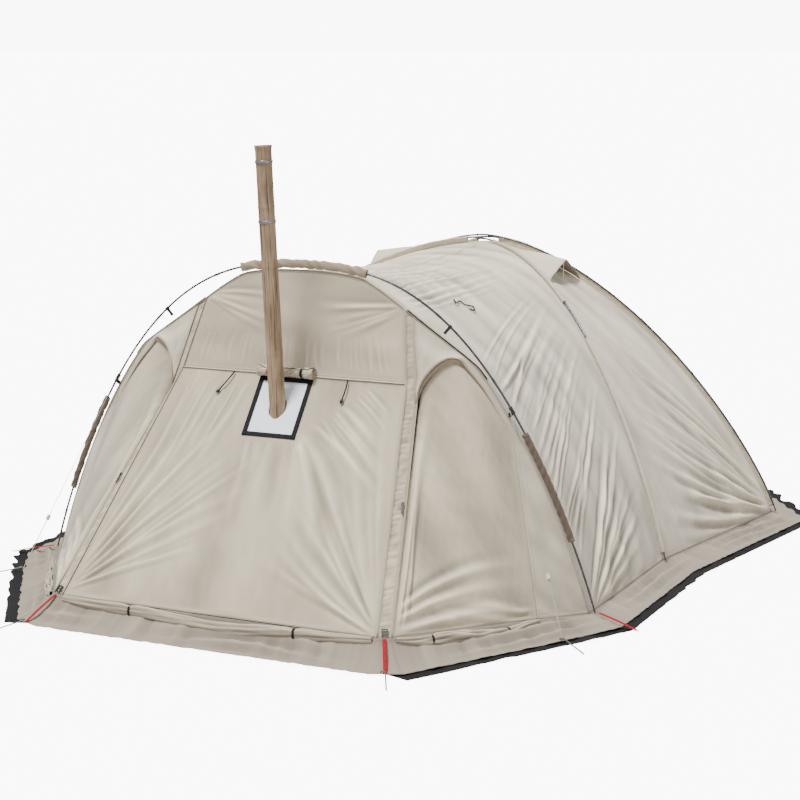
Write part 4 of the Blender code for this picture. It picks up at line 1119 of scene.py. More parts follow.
@dataclass(frozen=True)
class PipeFinish(Finish):
    """The chimney's heat-tinted metal: tan patches with dark lengthwise streaks."""

    name: str = "tinted_pipe"
    slot: str = "pipe_metal"
    pale: Point = (0.44, 0.31, 0.19)
    tan: Point = (0.27, 0.175, 0.10)
    dark: Point = (0.05, 0.03, 0.02)

    def paint(self, graph: Graph) -> dict:
        """Tint the pipe with patches and streaks of noise drawn out along it.

        Args:
            graph: The material's graph.

        Returns:
            A value or a socket for each input of the shader that it sets.
        """
        cloth = graph.layer("cloth")
        streak = graph.noise(graph.stretched(cloth, (120.0, 3.0, 1.0)), 1.0, 5.0, 0.6)
        broad = graph.noise(graph.stretched(cloth, (16.0, 4.5, 1.0)), 1.0, 3.0)
        colour = graph.mix(graph.ramp(broad, 0.35, 0.65), opaque(self.pale), opaque(self.tan))
        colour = graph.mix(graph.times(graph.ramp(streak, 0.50, 0.64), 0.9), colour, opaque(self.dark))
        return {"Base Color": colour, "Roughness": 0.55, "Normal": graph.bump(streak, 0.3, 0.001)}


FRONT_CLOTH = ClothFinish("front_canvas", (0.50, 0.431, 0.314), (0.445, 0.380, 0.275), "fly_cloth")
# Painted shade: the skirts' canvas is the panels' canvas made darker, for the shade under the hem.
SHADED_SKIRT_CLOTH = ClothFinish("skirt_canvas_painted_shade", (0.300, 0.250, 0.190), (0.235, 0.195, 0.148), "fly_cloth",
                          painted_fold_shading=0.55, painted_top_light=0.12)
ROLL_CLOTH = ClothFinish("rolled_canvas", (0.40, 0.338, 0.252), (0.33, 0.276, 0.205), "fly_cloth", painted_fold_shading=0.5)
ROOF_CLOTH = ClothFinish("roof_canvas", (0.58, 0.510, 0.388), (0.51, 0.445, 0.335), "roof_cloth", painted_top_light=0.42)
CREST_CLOTH = ClothFinish("crest_canvas", (0.40, 0.31, 0.22), (0.34, 0.26, 0.18), "sleeve_cloth")
SLEEVE_CLOTH = ClothFinish("sleeve_canvas", (0.145, 0.105, 0.075), (0.10, 0.07, 0.05), "sleeve_cloth")
# Painted shade: a darker brown copy of the canvas for inner sides and gaps that lie in shade.
SHADE_LINING_CLOTH = ClothFinish("painted_shade_lining", (0.37, 0.29, 0.20), (0.29, 0.22, 0.15), "sleeve_cloth", stitched=False)
TAPE_CLOTH = ClothFinish("seam_tape", (0.55, 0.49, 0.39), (0.49, 0.43, 0.34), "roof_cloth", creases=0.2)
BLACK_SHEET = ClothFinish("ground_sheet", (0.006, 0.006, 0.0075), (0.010, 0.010, 0.011), "sheet_cloth",
                          roughness=0.75, sheen=0.0, dust=0.02, painted_fold_shading=0.1, painted_top_light=0.0, stitched=False)
GLASS_CLOTH = ClothFinish("glass_cloth", (0.90, 0.93, 0.97), (0.84, 0.87, 0.91), "glass_cloth",
                          roughness=0.6, sheen=0.1, dust=0.1, painted_top_light=0.0, creases=0.25, stitched=False)
BLACK_WEB = WebFinish("black_webbing", (0.012, 0.012, 0.014), "black_webbing")
RED_WEB = WebFinish("red_webbing", (0.42, 0.010, 0.022), "red_webbing")
PALE_CORD = WebFinish("pale_cord", (0.62, 0.57, 0.49), "line_cord", ribs=3000.0, sheen=0.2)
POLE_METAL = HardFinish("anodised_pole", (0.10, 0.103, 0.11), (0.26, 0.26, 0.265), "pole_metal", 0.30, 0.9)
STEEL = HardFinish("peg_steel", (0.30, 0.30, 0.31), (0.42, 0.36, 0.28), "steel", 0.35, 1.0)
STOVE_PAINT = HardFinish("stove_paint", (0.03, 0.03, 0.032), (0.12, 0.08, 0.06), "stove_metal", 0.55, 0.4)
WHITE_PLASTIC = HardFinish("pale_plastic", (0.72, 0.71, 0.68), (0.55, 0.54, 0.50), "pale_plastic", 0.35, 0.0,
                           25.0, 0.2)
BLACK_PLASTIC = HardFinish("black_plastic", (0.015, 0.015, 0.017), (0.06, 0.06, 0.06), "black_webbing")
PIPE_FINISH = PipeFinish()


@dataclass
class Dressing:
    made: list = field(default_factory=list)

    def dress(self, item: Item, finish: Finish, body: str = Body.TENT.value, nodes: Sequence[str] = ()) -> Item:
        """Give a piece its material, its body and its place in the record.

        Args:
            item: The piece.
            finish: Its finish.
            body: The body that it rides on.
            nodes: The model's nodes that it stands for.

        Returns:
            The piece.
        """
        item.data.materials.clear()
        item.data.materials.append(finish.material())
        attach(item, body)
        if nodes:
            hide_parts(*nodes)
        self.made.append(item.name)
        LOG.info("%s rides on %s", item.name, body)
        return item

    def sheet(self, item: Item, finish: Finish, flat: Point, hold: Hold = Hold.STRETCHED,
              body: str = Body.TENT.value, nodes: Sequence[str] = (), area: Optional[float] = None) -> Item:
        """Args:
            item: The sheet.
            finish: Its finish.
            flat: Its width and length when cut; not used.
            hold: How it is held; not used.
            body: The body that it rides on.
            nodes: The model's nodes that it stands for.
            area: Its area when cut, where it isn't a rectangle; not used.

        Returns:
            The sheet.
        """
        self.dress(item, finish, body, nodes)
        return item

    def shade_inner_side(self, item: Item, lining: Finish) -> None:
        """Give a dressed and walled sheet another finish on its inner side, which paints the shade there."""
        item.data.materials.append(lining.material())
        item.modifiers["wall"].material_offset = 1

    def node(self, finish: Finish, *names: str) -> None:
        """Give some of the model's own nodes their finish.

        Args:
            finish: Their finish.
            names: Their names.
        """
        for name in names:
            item = bpy.data.objects[name]
            item.data.materials.clear()
            item.data.materials.append(finish.material())
            LOG.info("%s keeps its shape", name)


DRESS = Dressing()


@dataclass
class ClothPanel:
    """A stretched panel between four edges, with folds, a wall and stitched edges."""

    name: str
    bottom: Array
    top: Array
    left: Array
    right: Array
    cells: tuple[int, int]
    heart: Array | Callable[[Array], Array]
    folds: Folds = ()
    pins: tuple[float, float, float, float] = (0.05, 0.05, 0.05, 0.05)
    thickness: float = 0.0012
    lift: float = 0.0
    least_share: float = 0.31
    full_relief: float = 0.010

    def build(self) -> tuple[Item, tuple[float, float], float]:
        """Make the panel.

        A grid of the Coons surface is moved along its own normal by the folds' heights, held to
        nothing at each edge over that edge's pin width.

        Returns:
            The object, its flat width and length, and its area in square metres.
        """
        u, v = grid_shares(*self.cells)
        flat = coons(self.bottom, self.top, self.left, self.right, u.ravel(), v.ravel())
        points = flat.reshape(*u.shape, 3)
        across = np.gradient(points, axis=1)
        upward = np.gradient(points, axis=0)
        normal = rows_unit(np.cross(across, upward))
        heart = self.heart(flat) if callable(self.heart) else self.heart
        sign = np.sign(((flat - heart) * normal.reshape(-1, 3)).sum())
        normal = normal * sign
        normal[np.abs(points[..., 0]) < 1e-6, 0] = 0.0
        step_u = np.linalg.norm(across, axis=2)
        step_v = np.linalg.norm(upward, axis=2)
        from_left = np.cumsum(step_u, axis=1) - step_u[:, :1]
        from_low = np.cumsum(step_v, axis=0) - step_v[:1]
        gaps = (from_left, from_left[:, -1:] - from_left, from_low, from_low[-1:] - from_low)
        mask = np.ones_like(from_left)
        for gap, pin in zip(gaps, self.pins):
            if pin > 0.0:
                mask = mask * smoothstep(gap / pin)
        facing = unit(normal.reshape(-1, 3).mean(axis=0))
        height = sum((fold.height(flat, facing) for fold in self.folds), np.zeros(len(flat)))
        height = height.reshape(mask.shape) * mask
        moved = points + normal * (height + self.lift)[..., None]
        cloth = paired(from_left - from_left[:, -1:] / 2.0, from_low)
        edge = paired(np.minimum(gaps[0], gaps[1]), np.minimum(gaps[2], gaps[3]))
        # The fold height over full_relief is stored as relief, which the cloth finish turns into painted shade and
        # highlight.
        item = GridMesh(self.name, moved, uv=(cloth, edge), relief=height / self.full_relief, flip=sign < 0.0).build()
        wall(item, self.thickness)
        width, length = float(from_left[:, -1].max()), float(from_low[-1].max())
        area = grid_area(points)
        if area < self.least_share * width * length:
            width = float(from_left[:, -1].mean())
        return item, (width, length), area

    def lay(self, finish: Finish, *nodes: str, body: str = Body.TENT.value, hold: Hold = Hold.STRETCHED) -> None:
        """Build the panel and dress it.

        Args:
            finish: The cloth's finish.
            nodes: The model's nodes that it stands for.
            body: The body that it rides on.
            hold: How it is held.
        """
        item, flat, area = self.build()
        share = area / (flat[0] * flat[1])
        DRESS.sheet(item, finish, flat, hold, body, nodes, area=area if 0.3 < share < 1.0 else None)


def seam_tape(name: str, path: Array, heart: Array, width: float = 0.016, lift: float = 0.0012,
              finish: Finish = TAPE_CLOTH, thickness: float = 0.0022) -> None:
    """Lay a felled seam's raised band along a seam line.

    Args:
        name: The piece's name.
        path: The seam's line.
        heart: A point inside the tent.
        width: The band's width.
        lift: How far it stands off the seam's line.
        finish: Its finish.
        thickness: Its thickness.
    """
    path = stretch_of(path, count=max(int(length_of(path) / 0.025), 8))
    outward = path - heart
    face = frames_along(path, outward)[1]
    DRESS.dress(swept(name, path + face * lift, outward, slab(width, thickness)), finish)


# Sub-assemblies


def on_both_sides(*makers: Callable[[str, float], None]) -> None:
    """Run each maker for the left side and then for the right.

    Args:
        makers: Methods that take a side's name and its sign.
    """
    for make in makers:
        for name, side in SIDES.items():
            make(name, side)


@dataclass
class Studio:
    """Camera, floor and lights."""

    eye: Point = (4.42760, -11.10342, 2.80686)
    turn_degrees: Point = (79.344, 0.0, 24.1773)
    lens_mm: float = 90.0
    sensor_mm: float = 36.0
    floor_size: float = 400.0
    key_power: float = 5.4
    key_travel: Point = (0.20, 0.27, -0.94)
    fill_power: float = 0.7
    fill_travel: Point = (-0.80, 0.40, -0.45)
    sky_power: float = 0.45
    white_seen: float = 9.0

    def build(self) -> None:
        """Set the camera at the photograph's angle, over a pale floor in soft light."""
        camera = bpy.data.cameras.new("camera")
        camera.lens = self.lens_mm
        camera.sensor_width = self.sensor_mm
        camera.clip_end = 200.0
        item = linked("camera", camera)
        item.location = self.eye
        item.rotation_euler = [math.radians(angle) for angle in self.turn_degrees]
        bpy.context.scene.camera = item
        self.build_floor()
        self.build_light("key", self.key_power, self.key_travel, 16.0)
        self.build_light("fill", self.fill_power, self.fill_travel, 40.0)
        world = bpy.data.worlds.new("studio")
        bpy.context.scene.world = world
        world.use_nodes = True
        graph = Graph(world.node_tree)
        strength = graph.math("ADD", self.seen_white(graph), self.sky_power)
        graph.feed(world.node_tree.nodes["Background"].inputs, {0: (0.95, 0.97, 1.0, 1.0), 1: strength})

    def seen_white(self, graph: Graph) -> Socket:
        """Return a strength that only the camera sees."""
        return graph.times(graph.node("LightPath")["Is Camera Ray"], self.white_seen)

    def build_floor(self) -> None:
        """Lay the pale floor just under the groundsheet."""
        size = self.floor_size / 2.0
        corners = np.array([[(-size, -size), (size, -size)], [(-size, size), (size, size)]])
        points = np.dstack((corners, np.full((2, 2), -0.0005)))
        floor = GridMesh("floor", points, smooth=False).build()
        material, graph, inputs = principled("floor")
        graph.feed(inputs, {
            "Base Color": (0.45, 0.44, 0.43, 1.0), "Roughness": 0.9, "Emission Color": (1.0, 1.0, 1.0, 1.0),
            "Emission Strength": self.seen_white(graph),
        })
        floor.data.materials.append(material)

    def build_light(self, name: str, energy: float, travel: Point, softness: float) -> None:
        """Add a soft sun whose light travels in one direction.

        Args:
            name: Its name.
            energy: Its strength.
            travel: The light's direction.
            softness: The sun's width in degrees.
        """
        light = bpy.data.lights.new(name, "SUN")
        light.energy = energy
        light.angle = math.radians(softness)
        item = linked(name, light)
        item.location = (0.0, 0.0, 8.0)
        item.rotation_euler = Vector(travel).to_track_quat("-Z", "Y").to_euler()


@dataclass
class GuyLines:
    """The two front guy lines, doubled back through their sliders."""

    diameter: float = 0.003
    strand_gap: float = 0.006
    eye_height: float = 0.022
    clip_share: float = 0.565
    slider_share: float = 0.72
    slider_length: float = 0.026
    pole_diameter: float = 0.011
    step: float = 0.03

    def ends(self, side: float) -> tuple[Array, Array]:
        """Return the line's upper end at the hoop and its eye at the peg.

        Args:
            side: 1 on the right, -1 on the left.

        Returns:
            The upper end and the peg's eye.
        """
        run = int(self.clip_share * (LINES.pole_points - 1))
        top = mirrored((LINES.hoop_half[run] + LINES.hoop_half[run + 1]) / 2.0, side)
        top = top - Y_AXIS * (self.pole_diameter + self.diameter)
        rim = mirrored(LINES.skirt_rim[2], side)
        return top, np.array((rim[0], rim[1], self.eye_height))

    def route(self, side: float) -> Array:
        """Return the line's points: down, round the peg's eye, and back up to the slider.

        Args:
            side: 1 on the right, -1 on the left.

        Returns:
            Rows of points.
        """
        top, eye = self.ends(side)
        run = unit(eye - top)
        across = unit(np.cross(run, UP))
        length = float(np.linalg.norm(eye - top))
        steps = max(int(length / self.step), 2)
        half = across * self.strand_gap / 2.0
        down = top + half + (eye - top) * np.linspace(0.0, 1.0, steps)[:, None]
        angle = np.linspace(0.0, math.pi, 6)[1:-1, None]
        turn = eye + half * np.cos(angle) + run * (self.strand_gap / 2.0) * np.sin(angle)
        share = 1.0 - self.slider_share + self.slider_length / length
        back = eye - half - (eye - top) * np.linspace(0.0, share, steps // 3)[:, None]
        return np.vstack((down, turn, back))

    def build(self) -> None:
        """Make both lines as round curves, and finish their sliders and pegs."""
        for name, side in SIDES.items():
            path = self.route(side)
            curve = bpy.data.curves.new("guy_cord_" + name, "CURVE")
            curve.dimensions = "3D"
            curve.bevel_depth = self.diameter / 2.0
            curve.bevel_resolution = 3
            curve.use_fill_caps = True
            spline = curve.splines.new("POLY")
            spline.points.add(len(path) - 1)
            spline.points.foreach_set("co", np.column_stack((path, np.ones(len(path)))).ravel())
            item = linked("guy_cord_" + name, curve)
            DRESS.dress(item, PALE_CORD, nodes=("guy_line_" + name,))
            length_of(path)
            DRESS.node(WHITE_PLASTIC, "guy_slider_" + name)
            DRESS.node(STEEL, "guy_peg_" + name)


@dataclass
class Vestibule:
    """Front panel, gable, corner strips, side doors and the surrounds that hood them."""

    jack_width: float = 0.29
    jack_length: float = 0.332
    jack_offset: float = -0.02
    jack_below_seam: float = 0.02
    jack_edge: float = 0.012
    roll_radius: float = 0.023
    roll_sag: float = 0.030
    roll_ties: tuple = (0.24, 0.76)
    binding_shift: float = 0.007

    def jack_axes(self) -> tuple[Array, Array, Array]:
        """Return the jack's centre, its up direction and its outward direction.

        Returns:
            The centre in metres and two unit directions.
        """
        corner, seam, _ = LINES.corner_points(1.0)
        upward = unit((0.0, seam[1] - corner[1], seam[2] - corner[2]))
        top = np.array((self.jack_offset, seam[1], seam[2])) - upward * self.jack_below_seam
        return top - upward * self.jack_length / 2.0, upward, np.cross(X_AXIS, upward)

    @staticmethod
    def on_front(*shares: Point) -> Array:
        """Return places on the front panel, from shares across and up.

        Args:
            shares: A share across and a share up for each place.

        Returns:
            One row for each place.
        """
        left, right = LINES.corner_points(-1.0), LINES.corner_points(1.0)
        across, rise = np.array(shares).T[..., None]
        low = left[0] + (right[0] - left[0]) * across
        high = left[1] + (right[1] - left[1]) * across
        return low + (high - low) * rise

    def build_front(self) -> None:
        """Make the front panel round the jack's opening, with folds that gather at its corners."""
        left, right = LINES.corner_points(-1.0), LINES.corner_points(1.0)
        centre, upward, outward = self.jack_axes()
        low_left = centre - upward * self.jack_length / 2.0 - X_AXIS * (self.jack_width / 2.0)
        low_right = low_left + X_AXIS * self.jack_width
        on_front = self.on_front
        folds = (
            Pulls((left[0], left[0] + UP * 0.03), on_front((0.10, 0.95), (0.62, 0.88), (0.55, 0.30)),
                  13, 0.0060, 0.007, 0.03, 2.6, seed=11),
            Pulls((right[0], right[0] + UP * 0.03), on_front((0.52, 0.25), (0.60, 0.60), (0.97, 0.98)),
                  13, 0.0065, 0.007, 0.05, 3.0, seed=12),
            Pulls(on_front((0.62, 0.78), (0.86, 0.985)), on_front((0.97, 0.40), (0.99, 0.84)),
                  8, 0.0060, 0.009, 0.05, 1.2, seed=13),
            Pulls(on_front((0.03, 0.98), (0.34, 0.98)), on_front((0.03, 0.40), (0.22, 0.45)),
                  7, 0.0040, 0.008, 0.03, 1.5, seed=14),
            Pulls((low_right, low_right + UP * 0.08), on_front((0.66, 0.12), (0.88, 0.30)),
                  5, 0.0080, 0.020, 0.05, 1.8, seed=15),
            Pulls((low_left, low_right), on_front((0.40, 0.35), (0.62, 0.30)), 4, 0.0045, 0.016, 0.05, 2.2, seed=16),
            Ripple(0.0030, 0.30, upward, 2.4, seed=17),
            Ripple(0.0008, 0.07, upward, 2.0, seed=18),
        )
        panel = ClothPanel("front_panel_cloth", line(left[0], right[0]), line(left[1], right[1]),
                           line(left[0], left[1]), line(right[0], right[1]), (220, 170),
                           LINES.vestibule_heart, folds, pins=(0.05, 0.05, 0.03, 0.03))
        item, flat, area = panel.build()
        self.cut_opening(item, centre, upward, outward)
        DRESS.sheet(item, FRONT_CLOTH, flat, nodes=("front_panel",), area=area)

    def build_gable(self) -> None:
        """Make the gable above the front panel's seam, the tape along the seam, and a black band of painted shadow
        along the hem.
        """
        left, right = LINES.corner_points(-1.0), LINES.corner_points(1.0)
        seam = line(left[1], right[1])
        middle = line((0.1, seam[0][1], 1.28), (0.0, seam[0][1], 1.5))
        folds = (
            Pulls(seam * (0.9, 1.0, 1.0) + UP * 0.01, seam * (0.80, 1.0, 1.0) + UP * 0.24,
                  26, 0.0038, 0.006, 0.10, 1.0, seed=21),
            Pulls((right[2], right[2] + UP * 0.02), middle, 6, 0.0055, 0.008, 0.05, 2.0, seed=22),
            Pulls((left[2], left[2] + UP * 0.02), mirrored(middle, -1.0), 6, 0.0055, 0.008, 0.05, 2.0, seed=23),
            Ripple(0.0025, 0.22, X_AXIS, 2.6, seed=25),
        )
        heart = LINES.vestibule_heart
        # Painted shadow: a thin black band just under the hem stands for the shadow in the gap above the roll.
        hem = line(left[0], right[0]) * (0.985, 1.0, 1.0) - UP * 0.004
        seam_tape("front_hem_painted_shadow", hem, heart, 0.009, 0.0015, BLACK_WEB)
        crest = arched(stretch_of(LINES.fly_edge, 0.0, LINES.shoulder_share))
        ClothPanel("gable_cloth", seam, crest, line(left[1], left[2]), line(right[1], right[2]), (160, 70),
                   heart, folds).lay(FRONT_CLOTH, "front_gable")
        seam_tape("front_seam", seam, heart, 0.018, 0.0015, FRONT_CLOTH)

    def cut_opening(self, item: Item, centre: Array, upward: Array, outward: Array) -> None:
        """Cut the jack's opening out of the front panel and flatten the cloth round it.

        Args:
            item: The front panel before its wall is applied.
            centre: The jack's centre.
            upward: The direction up the panel.
            outward: The direction out of the panel.
        """
        mesh = item.data
        flat = np.empty(len(mesh.vertices) * 3)
        mesh.vertices.foreach_get("co", flat)
        points = flat.reshape(-1, 3)
        away = points - centre
        over_x = np.abs(away[:, 0]) - self.jack_width / 2.0
        over_y = np.abs(away @ upward) - self.jack_length / 2.0
        distance = np.maximum(over_x, over_y)
        calm = smoothstep((distance - 0.004) / 0.06)
        points = points - outward * ((away @ outward) * (1.0 - calm))[:, None]
        mesh.vertices.foreach_set("co", points.ravel())
        with mesh_work(item) as work:
            doomed = [work.verts[int(index)] for index in np.flatnonzero(distance < -self.jack_edge)]
            bmesh.ops.delete(work, geom=doomed, context="VERTS")

    @staticmethod
    def legs(points: Array) -> Array:
        """Return straight legs with as many points on each, so that two rows match leg by leg.

        Args:
            points: The corners between the legs.

        Returns:
            Rows of points.
        """
        share = np.linspace(0.0, 1.0, 40)[:-1, None]
        runs = [first + (last - first) * share for first, last in zip(points[:-1], points[1:])]
        return np.vstack((*runs, points[-1:]))

    def build_strip(self, name: str, side: float) -> None:
        """Make the puckered strip at a front corner, and its seams.

        Args:
            name: The side's name.
            side: 1 on the right, -1 on the left.
        """
        inner, outer = self.legs(line(*LINES.corner_points(side))), self.legs(line(*LINES.strip_points(side)))
        heart = LINES.vestibule_heart
        folds = (Ripple(0.0015, 0.030, (1.0, 0.3, 0.45), 2.2, seed=31),
                 Ripple(0.0012, 0.075, (1.0, 0.3, 0.1), 1.6, seed=32))
        ClothPanel("corner_strip_cloth_" + name, line(inner[0], outer[0]), line(inner[-1], outer[-1]), inner, outer,
                   (16, 300), heart, folds, pins=(0.012, 0.022, 0.0, 0.0), lift=-0.0028,
                   full_relief=0.0045).lay(FRONT_CLOTH, "corner_strip_" + name)
        seam_tape("corner_seam_" + name, inner, heart, 0.014, 0.0015, FRONT_CLOTH)
        seam_tape("door_zip_tape_" + name, outer, heart, 0.010, 0.0018, FRONT_CLOTH)

    def build_surround(self, name: str, side: float) -> None:
        """Make a surround from the rim's arch to the fly edge, and a sheet in painted shade under its arch.

        Args:
            name: The side's name.
            side: 1 on the right, -1 on the left.
        """
        _, arch_foot, top = LINES.strip_points(side)
        rim, heart = LINES.door_rim(side), LINES.vestibule_heart
        edge = mirrored(stretch_of(LINES.fly_edge, LINES.strip_share, 1.0, 129), side)
        folds = (
            Pulls((arch_foot, along(rim, 0.10)[0]), (top, along(edge, 0.35)[0]), 6, 0.0035, 0.008, 0.05, 1.5, seed=41),
            Ripple(0.0025, 0.09, (side * 0.5, 0.0, -0.8), 2.5, seed=42),
        )
        ClothPanel("surround_cloth_" + name, rim, edge, line(arch_foot, top), line(rim[-1], edge[-1]), (260, 26),
                   heart, folds, pins=(0.0, 0.03, 0.02, 0.02)).lay(ROOF_CLOTH, "door_surround_" + name)
        tangent = frames_along(rim, rim - heart)[0]
        away = tangent * np.sign((tangent * (rim - rim.mean(axis=0))).sum())
        seam_tape("arch_binding_" + name, rim + away * self.binding_shift, heart, 0.010, 0.0008, FRONT_CLOTH)
        # Painted shade: a dark brown sheet fills the gap under the arch, where there is only shade.
        arch = stretch_of(rim, 0.0, 0.42, 97)
        share = np.linspace(0.0, 1.0, len(arch))[:, None]
        inner = arch + mirrored((-0.020, 0.036, -0.075), side) * (1.0 - 0.45 * share)
        outer = arch + mirrored((0.0, 0.004, -0.004), side)
        folds = (Ripple(0.002, 0.05, (0.0, 0.3, -1.0), 2.0, seed=43),)
        ClothPanel("arch_shade_sheet_" + name, inner, outer, line(inner[0], outer[0]), line(inner[-1], outer[-1]), (120, 10),
                   heart, folds, pins=(0.0, 0.02, 0.02, 0.02)).lay(SHADE_LINING_CLOTH, hold=Hold.HUNG)

    def build_door(self, name: str, side: float) -> None:
        """Make a side door with folds that fall from the arch and gather at its hem.

        Args:
            name: The side's name.
            side: 1 on the right, -1 on the left.
        """
        bottom, top, front, rear = LINES.door_edges(side)
        corner, hinge = bottom[0], bottom[-1]
        run = hinge - corner
        folds = (
            Pulls((corner, corner + run * 0.10), (along(front, 0.95)[0], along(top, 0.40)[0]),
                  11, 0.0048, 0.008, 0.04, 1.4, seed=51),
            Pulls((corner, corner + run * 0.05), along(top, (0.30, 0.55)), 3, 0.0040, 0.012, 0.02, 1.2, seed=52),
            Pulls((corner, along(front, 0.10)[0]), (hinge + UP * 0.02, hinge + UP * 0.30),
                  7, 0.0080, 0.012, 0.10, 2.0, seed=53),
            Pulls((hinge, along(rear, 0.05)[0]), along(front, (0.10, 0.22)), 5, 0.0060, 0.012, 0.10, 2.0, seed=54),
            Ripple(0.0035, 0.24, (0.0, -0.3, 1.0), 2.6, seed=55),
            Ripple(0.0008, 0.06, (0.0, -0.3, 1.0), 2.0, seed=56),
        )
        ClothPanel("side_door_cloth_" + name, bottom, top, front, rear, (130, 170), LINES.vestibule_heart, folds,
                   pins=(0.03, 0.03, 0.02, 0.03)).lay(FRONT_CLOTH, "side_door_" + name, body="door_" + name)

    def hem_roll(self, name: str, start: Array, end: Array, outward: Array, body: str, seed: int) -> None:
        """Make the slack cloth rolled up below a hem, tied at two places and sagging between.

        The roll's section is a ring with folded lobes, whose radius swells between the ties.

        Args:
            name: The piece's name.
            start: The hem's first end.
            end: The hem's last end.
            outward: The direction away from the tent.
            body: The body that it rides on.
            seed: Seed of its unevenness.
        """
        random = np.random.default_rng(seed)
        share = np.linspace(0.01, 0.99, 240)
        swell = np.sin(math.pi * share) ** 0.45
        pinch = sum(np.exp(-(((share - tie) / 0.014) ** 2)) for tie in self.roll_ties)
        slack = 1.0 + 0.35 * np.sin(share * 9.0 + random.uniform(0.0, 6.3))
        sag = self.roll_sag * np.sin(math.pi * share) ** 0.7 * slack
        path = start + (end - start) * share[:, None] + outward * (0.012 + 0.026 * swell)[:, None]
        path = path - UP * (0.006 + sag)[:, None]
        ring = circle(self.roll_radius, 40)
        turn = np.linspace(0.0, FULL_TURN, 40, endpoint=False)
        lobes = sum(
            random.uniform(0.05, 0.13) * np.sin(count * turn[None] + share[:, None] * random.uniform(-34.0, 34.0)
                                                + random.uniform(0.0, 6.3))
            for count in (2, 3, 4, 5, 7)
        )
        scale = (0.30 + 0.75 * swell * (1.0 - 0.35 * pinch))[:, None] * (1.0 + lobes)
        ring = ring * np.array((1.2, 0.75))
        # The lobes are stored as relief, which the cloth finish turns into painted shade and highlight.
        item = swept(name, path, outward, ring, scale, capped=False, relief=lobes * 3.0)
        wall(item, 0.001)
        girth = FULL_TURN * self.roll_radius * float(scale.mean())
        DRESS.sheet(item, ROLL_CLOTH, (girth, length_of(path)), Hold.GATHERED, body)
        for index, tie in enumerate(self.roll_ties):
            here = int(np.abs(share - tie).argmin())
            reach = ring * float(scale[here].max())
            loop = path[here] + UP * reach[:, :1] + outward * reach[:, 1:]
            loop = np.vstack((loop, loop[:1]))
            band = swept(f"{name}_tie_{index}", loop, loop - path[here], slab(0.011, 0.002))
            DRESS.dress(band, BLACK_WEB, body)

    def build_rolls(self) -> None:
        """Make the rolls under the front hem and both door hems."""
        left, right = (LINES.corner_points(side)[0] for side in (-1.0, 1.0))
        self.hem_roll("front_hem_roll", left, right, -Y_AXIS, Body.TENT.value, 151)
        for name, side in SIDES.items():
            bottom = LINES.door_edges(side)[0]
            outward = turned(unit(np.cross(unit(bottom[-1] - bottom[0]), UP)), X_AXIS * side)
            self.hem_roll("door_hem_roll_" + name, bottom[0], bottom[-1], outward, "door_" + name, 152)

    def build(self) -> None:
        """Make the whole vestibule."""
        self.build_front()
        self.build_gable()
        on_both_sides(self.build_strip, self.build_surround, self.build_door)
        self.build_rolls()


